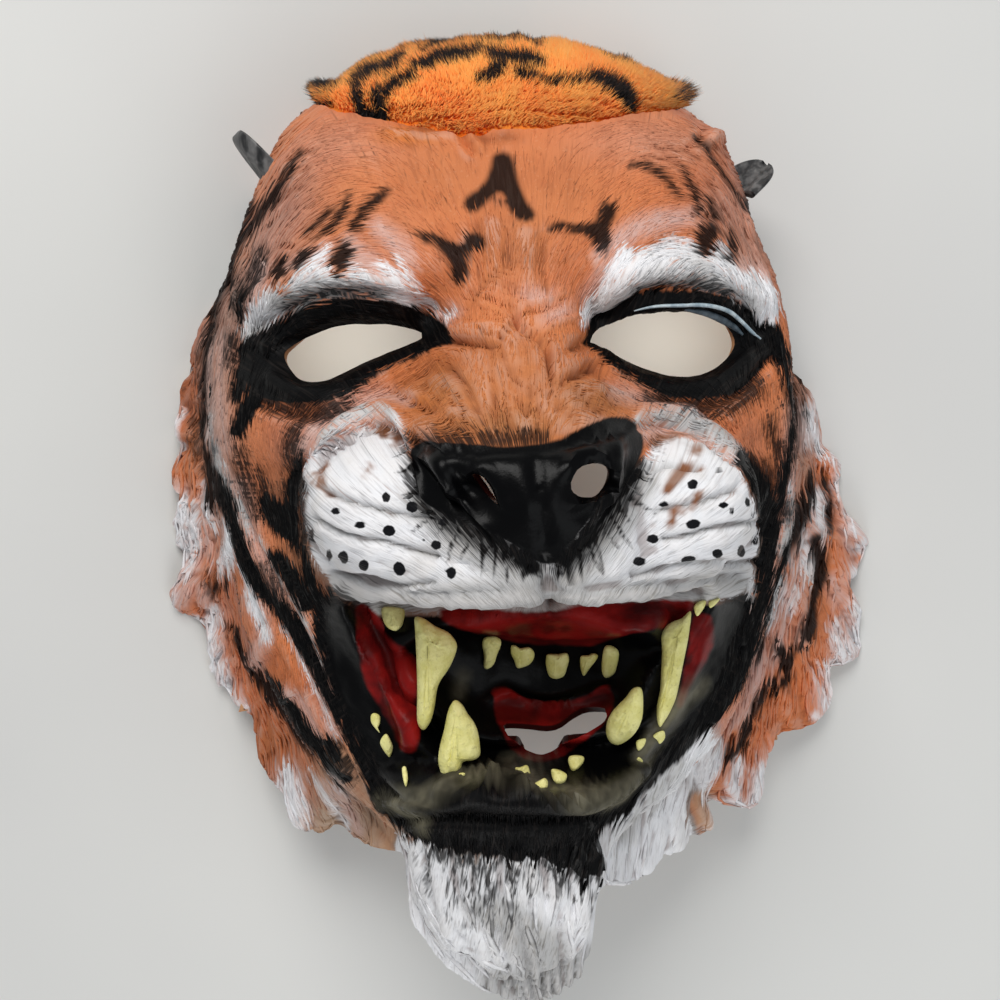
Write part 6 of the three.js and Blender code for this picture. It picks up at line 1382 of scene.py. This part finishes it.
def tooth_material():
    m = Nodes("tooth_paint")
    own = m.object_coords()
    mottle, speck = m.noise(own, 190.0, 3.0, 0.6), m.noise(own, 700.0, 2.0, 0.6)
    col = m.mix(m.range(mottle, 0.35, 0.65), srgb(228, 221, 132), srgb(244, 238, 160))
    col = m.mix(m.math("MULTIPLY", m.range(speck, 0.58, 0.74), 0.35), col, srgb(160, 150, 92))
    m.set("Base Color", col)
    m.set("Roughness", m.range(mottle, 0.3, 0.7, 0.38, 0.55))
    m.set("Normal", m.bump(m.math("ADD", mottle, m.math("MULTIPLY", speck, 0.4)), 0.0009, 0.8))
    return m.mat


teeth.data.materials.append(tooth_material())


# ---- the fold of the right lid: a pale blue-white bead along its crest, pale paint and a painted highlight there, and a slate band under it ---
def bead(course, lift):
    """A low rounded bead along [u, v, half width] points, laid on the face."""
    p = spline(course, 5)
    step = np.gradient(p[:, :2], axis=0)
    step /= np.linalg.norm(step, axis=1, keepdims=True)
    cross = np.stack([-step[:, 1], step[:, 0]], -1)
    kernel = np.hanning(15)[1:-1]
    kernel /= kernel.sum()
    rings = []
    z = np.max([[depth_at(a, b) for a, b in p[:, :2] + cross * (q * p[:, 2:3] * 1.2)] for q in (-1, 0, 1)], axis=0)
    z = np.convolve(np.pad(z, 6, "edge"), kernel, "valid")
    for q, dz in ((-1, -3.2), (-0.92, 0.0), (-0.5, 0.35), (0, 0.5), (0.5, 0.35), (0.92, 0.0), (1, -3.2)):
        rings.append(unproject(p[:, :2] + cross * (q * p[:, 2:3]), z + lift + dz))
    pts = np.stack(rings, 1).reshape(-1, 3)
    n, k = len(p), len(rings)
    tris = []
    for r in range(n - 1):
        for c in range(k):
            a, b = r * k + c, r * k + (c + 1) % k
            tris += [(a, b, b + k), (a, b + k, a + k)]
    for c in range(1, k - 1):
        tris += [(0, c + 1, c), ((n - 1) * k, (n - 1) * k + c, (n - 1) * k + c + 1)]
    return pts, np.array(tris)


def lid_material(name, one, two):
    m = Nodes(name)
    own = m.object_coords()
    mottle = m.noise(own, 260.0, 3.0, 0.6)
    m.set("Base Color", m.mix(m.range(mottle, 0.35, 0.65), one, two))
    m.set("Roughness", m.range(mottle, 0.3, 0.7, 0.26, 0.42))
    m.set("Normal", m.bump(mottle, 0.0006, 0.6))
    return m.mat


lid_pale_highlight, lid_slate = joined("lid_edge_highlight", [bead(LID_PALE_HIGHLIGHT, 0.9)]), joined("lid_shade", [bead(LID_SLATE, 0.3)])
lid_pale_highlight.data.materials.append(lid_material("lid_pale_highlight", srgb(150, 170, 182), srgb(208, 222, 228)))
lid_slate.data.materials.append(lid_material("lid_slate", srgb(58, 70, 78), srgb(96, 110, 120)))

# ---- ears -------------------------------------------------------------------------------------------------------
def ear(base, tip, width, thick, cup, roll, rows=34, cols=24):
    base, tip = np.array(base, float), np.array(tip, float)
    axis = tip - base
    length = np.linalg.norm(axis)
    u = axis / length
    w = Vector(np.cross(u, (0, 0, 1)))
    w.normalize()
    w.rotate(Matrix.Rotation(math.radians(roll), 3, Vector(u)))
    w = np.array(w)
    f = np.cross(w, u)
    f /= np.linalg.norm(f)
    layers = []
    for side in (1, -1):
        for r in range(rows + 1):
            for c in range(cols + 1):
                t, q = r / rows, 2 * c / cols - 1
                half = width / 2 * math.sqrt(max(1 - t**2.6, 0)) + 1.2
                bow = cup * q * q * (1 - 0.5 * t)
                edge = math.sqrt(max(1 - abs(q) ** 3, 0)) * math.sqrt(max(1 - t**8, 0))
                d = side * thick * 0.5 * (0.25 + 0.75 * edge)
                d += 0.35 * math.sin(q * 9 + t * 3 + side) * (1 - t)
                layers.append(base + u * length * t + f * half * q + w * (bow + d))
    n = (rows + 1) * (cols + 1)
    at = lambda r, c: r * (cols + 1) + c
    tris = []
    for r in range(rows):
        for c in range(cols):
            a, b, d, e = at(r, c), at(r, c + 1), at(r + 1, c), at(r + 1, c + 1)
            tris += [(a, b, e), (a, e, d), (a + n, e + n, b + n), (a + n, d + n, e + n)]
    loop = [at(0, c) for c in range(cols)] + [at(r, cols) for r in range(rows)] + [at(rows, c) for c in range(cols, 0, -1)] + [at(r, 0) for r in range(rows, 0, -1)]
    for a, b in zip(loop, loop[1:] + loop[:1]):
        tris += [(b, a, a + n), (b, a + n, b + n)]
    return np.array(layers), np.array(tris)


ears = joined("ears", [ear((-77, 100, 42), (-89.5, 115.5, 37), 17, 3.2, 4, 14), ear((84, 97, 42), (94.5, 106, 38), 15, 3.2, -3, 38)])


def ear_material():
    m = Nodes("ear_latex")
    own = m.object_coords()
    mottle = m.noise(own, 120.0, 3.0, 0.6)
    streaks = m.noise(m.scaled(own, (300, 60, 300)), 1.0, 2.0)
    col = m.mix(m.range(streaks, 0.4, 0.62), srgb(28, 28, 30), srgb(84, 83, 83))
    col = m.mix(m.math("MULTIPLY", m.range(mottle, 0.52, 0.7), 0.4), col, srgb(150, 149, 148))
    m.set("Base Color", col)
    m.set("Roughness", m.range(mottle, 0.3, 0.7, 0.34, 0.5))
    m.set("Normal", m.bump(m.math("ADD", mottle, streaks), 0.0008, 0.8))
    return m.mat


ears.data.materials.append(ear_material())

# ---- plush crown --------------------------------------------------------------------------------------------------
def exposed(x, y):
    return np.minimum(np.minimum(y - brow_y(x), x - BROW_EDGE[0, 0]), BROW_EDGE[-1, 0] - x)


P_COLS, P_ROWS = 78, 44
# how high the cloth stands in the front view
CROWN_LINE = np.array([(300, 84), (313, 80), (322, 68), (338, 70), (345, 76), (360, 77), (380, 74), (400, 61), (415, 55), (430, 44), (450, 37), (480, 35), (500, 34), (520, 36), (545, 41), (570, 46), (600, 52), (630, 57), (655, 61), (672, 62), (690, 66), (710, 76)], float)
pa = np.linspace(119.5, 57.5, P_COLS + 1)
lo, hi = np.zeros(P_COLS + 1), np.ones(P_COLS + 1)
for _ in range(26):
    mid = (lo + hi) / 2
    mx, my, _z = head_form(mid, pa)
    over = my > brow_y(np.clip(mx, -64, 73)) - 9
    hi, lo = np.where(over, mid, hi), np.where(over, lo, mid)
start = np.minimum(hi, 0.72)
pr = (np.arange(P_ROWS + 1) / P_ROWS) ** 0.9
ps = start[None, :] + (1 - start[None, :]) * pr[:, None]
pang = np.tile(pa, (P_ROWS + 1, 1))
pm = np.stack(head_form(ps, pang), -1)
pn = np.cross(np.gradient(pm, axis=1), np.gradient(pm, axis=0))
pn /= np.linalg.norm(pn, axis=-1, keepdims=True)
if (pn[..., 2] * 1.0).mean() < 0:
    pn = -pn
ex = exposed(pm[..., 0], pm[..., 1])
fold = 2.6 * np.exp(-(((pang - 60.5) / 2.2) ** 2)) + 3.0 * np.exp(-(((pang - 117.5) / 2.0) ** 2)) - 4.6 * np.exp(-(((pang - 112.0) / 3.0) ** 2)) - 1.2 * np.exp(-(((pang - 65.0) / 1.8) ** 2))
lift = -LATEX - GAP - 0.2 + (PILE_RISE - 1.2 + LATEX + GAP + 0.2) * sm(0.5, 5, ex)
lift = lift + sm(3, 9, ex) * ((noise(pang * 0.16, ps * 9, 5) - 0.5) * 2.2 + fold)
thin = np.minimum(lift, 0) - (PLUSH - PILE_RISE)
po, pi_ = pm + pn * lift[..., None], pm + pn * thin[..., None]
over_u, over_v = front_view(po)
line = np.interp(over_u, CROWN_LINE[:, 0], CROWN_LINE[:, 1]) + 9
drop_ = np.clip(line - over_v, 0, 24) * 0.34 * sm(28, 60, po[..., 2])
drop_ = drop_ * sm(3, 9, ex)
for q in (po, pi_):
    q[..., 1] -= drop_
for q in (po, pi_):
    q[..., 2] = np.maximum(q[..., 2], 0.3)
    q[-1, :, 2] = 0
p_n = (P_ROWS + 1) * (P_COLS + 1)
idx = np.arange(p_n).reshape(P_ROWS + 1, P_COLS + 1)
a, b, d, e = idx[:-1, :-1].ravel(), idx[:-1, 1:].ravel(), idx[1:, :-1].ravel(), idx[1:, 1:].ravel()
ptris = np.concatenate([np.stack([a, b, e], 1), np.stack([a, e, d], 1)])
loop = np.concatenate([idx[0, :-1], idx[:-1, -1], idx[-1, :0:-1], idx[:0:-1, 0]])
nxt = np.roll(loop, -1)
ptri = np.concatenate([ptris, ptris[:, ::-1] + p_n, np.stack([nxt, loop, loop + p_n], 1), np.stack([nxt, loop + p_n, nxt + p_n], 1)])
p_all = np.concatenate([po.reshape(-1, 3), pi_.reshape(-1, 3)])
if volume(p_all, ptri) < 0:
    ptri = ptri[:, ::-1]
plush = new_mesh("plush_cloth", p_all, ptri)

PLUSH_BLACK = [
    [(418, 73, 4), (436, 65, 6), (460, 60, 6), (483, 57, 4)], [(494, 60, 6), (515, 62, 6), (530, 66, 6.5), (541, 67, 4)], [(504, 66, 5), (492, 77, 5), (480, 82, 4)],
    [(518, 76, 4), (535, 82, 3.5), (560, 84, 3), (586, 86, 4)], [(590, 82, 7), (603, 86, 9), (617, 92, 9), (628, 106, 7)], [(606, 59, 3), (622, 63, 4), (640, 67, 5), (656, 73, 4)],
    [(358, 98, 7), (362, 112, 7), (374, 120, 7)], [(378, 98, 7), (381, 118, 7)], [(362, 92, 5), (374, 80, 6), (392, 74, 5), (410, 62, 4)], [(428, 56, 3), (452, 48, 4), (480, 44, 4), (512, 44, 4), (542, 51, 3)],
    [(385, 96, 5), (400, 86, 6), (416, 79, 4)], [(312, 88, 6), (326, 86, 8), (341, 88, 6)], [(664, 78, 5), (676, 84, 8), (684, 91, 8)], [(672, 96, 3), (684, 99, 5)], [(318, 104, 4), (330, 106, 3)]]


def plush_black(p):
    u, v = front_view(p)
    f = Field(u, v)
    k = f.mask(PLUSH_BLACK, low=-20)
    back = v < 34                         # past the crown, broad stripes run on down the back
    band = np.sin(p[:, 2] * 0.30 + 0.9 * np.sin(p[:, 0] * 0.055)) * 7 - 4.2
    return np.where(back | (p[:, 2] < 34), np.maximum(k, band), k)


number(plush.data, "black", plush_black(p_all))
number(plush.data, "tip", np.zeros(len(p_all)))


def plush_material():
    m = Nodes("plush_pile")
    own = m.object_coords()
    mottle, fine = m.noise(own, 70.0, 3.0, 0.6), m.noise(own, 500.0, 2.0, 0.6)
    tip = m.attr("tip")
    col = m.mix(m.range(mottle, 0.35, 0.65), srgb(255, 120, 24), srgb(255, 156, 60))
    col = m.mix(m.math("MULTIPLY", tip, 0.67), m.mix(0.06, col, srgb(226, 92, 14)), srgb(255, 206, 128))
    k = m.range(m.math("ADD", m.attr("black"), m.math("MULTIPLY", m.math("SUBTRACT", mottle, 0.5), 5.0)), -1.5, 1.5)
    ink = m.mix(m.math("MULTIPLY", tip, m.range(fine, 0.4, 0.6)), srgb(20, 17, 18), srgb(62, 48, 42))
    col = m.mix(k, col, ink)
    m.set("Base Color", col)
    m.bsdf.inputs["Roughness"].default_value = 0.9
    m.bsdf.inputs["Specular IOR Level"].default_value = 0.2
    m.bsdf.inputs["Sheen Weight"].default_value = 0.06
    m.bsdf.inputs["Sheen Roughness"].default_value = 0.5
    return m.mat


PLUSH_MAT = plush_material()
plush.data.materials.append(PLUSH_MAT)


def blades(name, count, seed):
    rng = np.random.default_rng(seed)
    r, c = rng.uniform(0, P_ROWS, count * 2), rng.uniform(0, P_COLS, count * 2)

    def at(a, r, c):
        i, j = np.clip(r.astype(int), 0, P_ROWS - 1), np.clip(c.astype(int), 0, P_COLS - 1)
        f, g = (r - i)[:, None], (c - j)[:, None]
        return (a[i, j] * (1 - f) + a[i + 1, j] * f) * (1 - g) + (a[i, j + 1] * (1 - f) + a[i + 1, j + 1] * f) * g
    root = at(po, r, c)
    e_ = exposed(root[:, 0], root[:, 1])
    ok = np.nonzero((e_ > 0.6) & (root[:, 2] > 3))[0][:count]
    r, c, root, e_ = r[ok], c[ok], root[ok], e_[ok]
    nrm = at(pn, r, c)
    nrm /= np.linalg.norm(nrm, axis=1, keepdims=True)
    n = len(ok)
    # each hair leans toward the middle of its own tuft
    gr, gc = r * 0.9, c * 1.0
    ci, cj = np.floor(gr), np.floor(gc)
    tr, tc = (ci + 0.2 + 0.6 * hash2(ci, cj, 3)) / 0.9, (cj + 0.2 + 0.6 * hash2(ci, cj, 4)) / 1.0
    heart = at(po, np.clip(tr, 0, P_ROWS), np.clip(tc, 0, P_COLS))
    comb = np.stack([0.35 * np.sin(root[:, 1] * 0.11 + 1.0) + 0.2 * (noise(root[:, 0] * 0.08, root[:, 1] * 0.08, 51) - 0.5), -0.42 + 0.35 * (noise(root[:, 0] * 0.07, root[:, 2] * 0.07, 52) - 0.5), np.zeros(n)], 1)
    d = nrm + comb + rng.normal(0, 0.13, (n, 3))
    d /= np.linalg.norm(d, axis=1, keepdims=True)
    comb_out = 1.7 * sm(56, 70, root[:, 0]) - 0.9 * sm(-55, -63, root[:, 0])
    d[:, 0] += comb_out
    d /= np.linalg.norm(d, axis=1, keepdims=True)
    length = (1 + 0.38 * np.abs(comb_out)) * rng.uniform(3.4, 5.6, n) * np.clip(0.4 + e_ / 6, 0.4, 1.0)
    length = length * (1 + 1.2 * sm(56, 68, root[:, 0])) * (0.72 + 0.62 * noise(root[:, 0] * 0.22, root[:, 1] * 0.22 + root[:, 2] * 0.1, 53))
    length = np.minimum(length, 0.9 + root[:, 2])[:, None]
    side = np.cross(d, rng.normal(0, 1, (n, 3)))
    side /= np.linalg.norm(side, axis=1, keepdims=True)
    up = np.cross(d, side)
    wide = rng.uniform(0.22, 0.36, n)[:, None]
    base = root - nrm * 0.5
    tip = base + d * length + (heart - root) * 0.42
    tip[:, 2] = np.maximum(tip[:, 2], 0.2)
    pts = [base + (side * math.cos(2 * math.pi * k / 3) + up * math.sin(2 * math.pi * k / 3)) * wide for k in range(3)]
    pts = np.stack(pts + [tip], 1)
    t = np.array([(0, 1, 3), (1, 2, 3), (2, 0, 3), (0, 2, 1)])
    tris = (t[None] + 4 * np.arange(n)[:, None, None]).reshape(-1, 3)
    if volume(pts[0] - pts[0].mean(0), t) < 0:
        tris = tris[:, ::-1]
    ob = new_mesh(name, pts.reshape(-1, 3), tris)
    k = plush_black(root) + rng.normal(0, 1.3, n)
    number(ob.data, "black", np.repeat(k, 4))
    number(ob.data, "tip", (np.tile([0.0, 0.0, 0.0, 1.0], (n, 1)) * rng.uniform(0.5, 1.0, n)[:, None]).ravel())
    ob.data.materials.append(PLUSH_MAT)
    return ob


pile_a, pile_b = blades("plush_pile_a", PILE_BLADES, 11), blades("plush_pile_b", PILE_BLADES, 12)

# ---- what rides what ------------------------------------------------------------------------------------------------
for ob in (shell, teeth, ears, lid_pale_highlight, lid_slate, *hair_objects):
    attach(ob, "root")
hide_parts("latex_face")
for ob in (plush, pile_a, pile_b):
    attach(ob, "root")
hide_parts("plush_crown")

# ---- floor, light, camera ---------------------------------------------------------------------------------------------
def floor_material():
    m = Nodes("pale_floor")
    own = m.object_coords()
    n = m.noise(own, 3.0, 3.0, 0.5)
    m.set("Base Color", m.mix(m.range(n, 0.3, 0.7), srgb(214, 214, 212), srgb(222, 222, 219)))
    m.set("Roughness", m.range(n, 0.3, 0.7, 0.6, 0.7))
    return m.mat


fm = bpy.data.meshes.new("floor")
fm.from_pydata([(-3, -3, -0.0002), (3, -3, -0.0002), (3, 3, -0.0002), (-3, 3, -0.0002)], [], [(0, 1, 2, 3)])
floor = bpy.data.objects.new("floor", fm)
bpy.context.scene.collection.objects.link(floor)
floor.data.materials.append(floor_material())

world = bpy.data.worlds.new("studio")
world.use_nodes = True
world.node_tree.nodes["Background"].inputs[0].default_value = (0.93, 0.96, 1.0, 1.0)
world.node_tree.nodes["Background"].inputs[1].default_value = 0.325
bpy.context.scene.world = world


def lamp(name, at, to, size, watts, tint_=(1, 1, 1)):
    data = bpy.data.lights.new(name, "AREA")
    data.shape, data.size, data.energy, data.color = "DISK", size, watts, tint_
    ob = bpy.data.objects.new(name, data)
    ob.location = at
    ob.rotation_euler = (Vector(to) - Vector(at)).to_track_quat("-Z", "Y").to_euler()
    bpy.context.scene.collection.objects.link(ob)


lamp("key", (-0.22, 0.85, 0.95), (0, 0.0, 0.08), 0.7, 10.9, (1.0, 0.985, 0.96))
lamp("fill", (0.5, -0.35, 1.0), (0, -0.02, 0.1), 0.9, 2.3, (0.95, 0.98, 1.0))
lamp("low", (0.0, -0.95, 0.42), (0, 0.0, 0.05), 0.5, 2.5, (1.0, 0.99, 0.97))
for n_, x_ in enumerate((-0.0615, 0.054)):
    lamp("inside_%d" % n_, (x_, 0.053, 0.036), (x_, 0.0525, 0.0), 0.044, 0.0135, (1.0, 0.96, 0.86))
    bpy.data.objects["inside_%d" % n_].visible_camera = False

cam = bpy.data.objects.new("camera", bpy.data.cameras.new("camera"))
cam.data.sensor_width = 36.0
cam.data.lens = 36.0 * LENS / 1000
cam.data.clip_start, cam.data.clip_end = 0.01, 20
m4 = Matrix.Identity(4)
for i in range(3):
    m4[i][0], m4[i][1], m4[i][2] = RIGHT[i], UP[i], OUT[i]
    m4[i][3] = (EYE[i] + SHIFT[i]) / 1000
cam.matrix_world = m4
bpy.context.scene.collection.objects.link(cam)
bpy.context.scene.camera = cam
bpy.context.scene.view_settings.view_transform = "Standard"

bpy.context.view_layer.update()
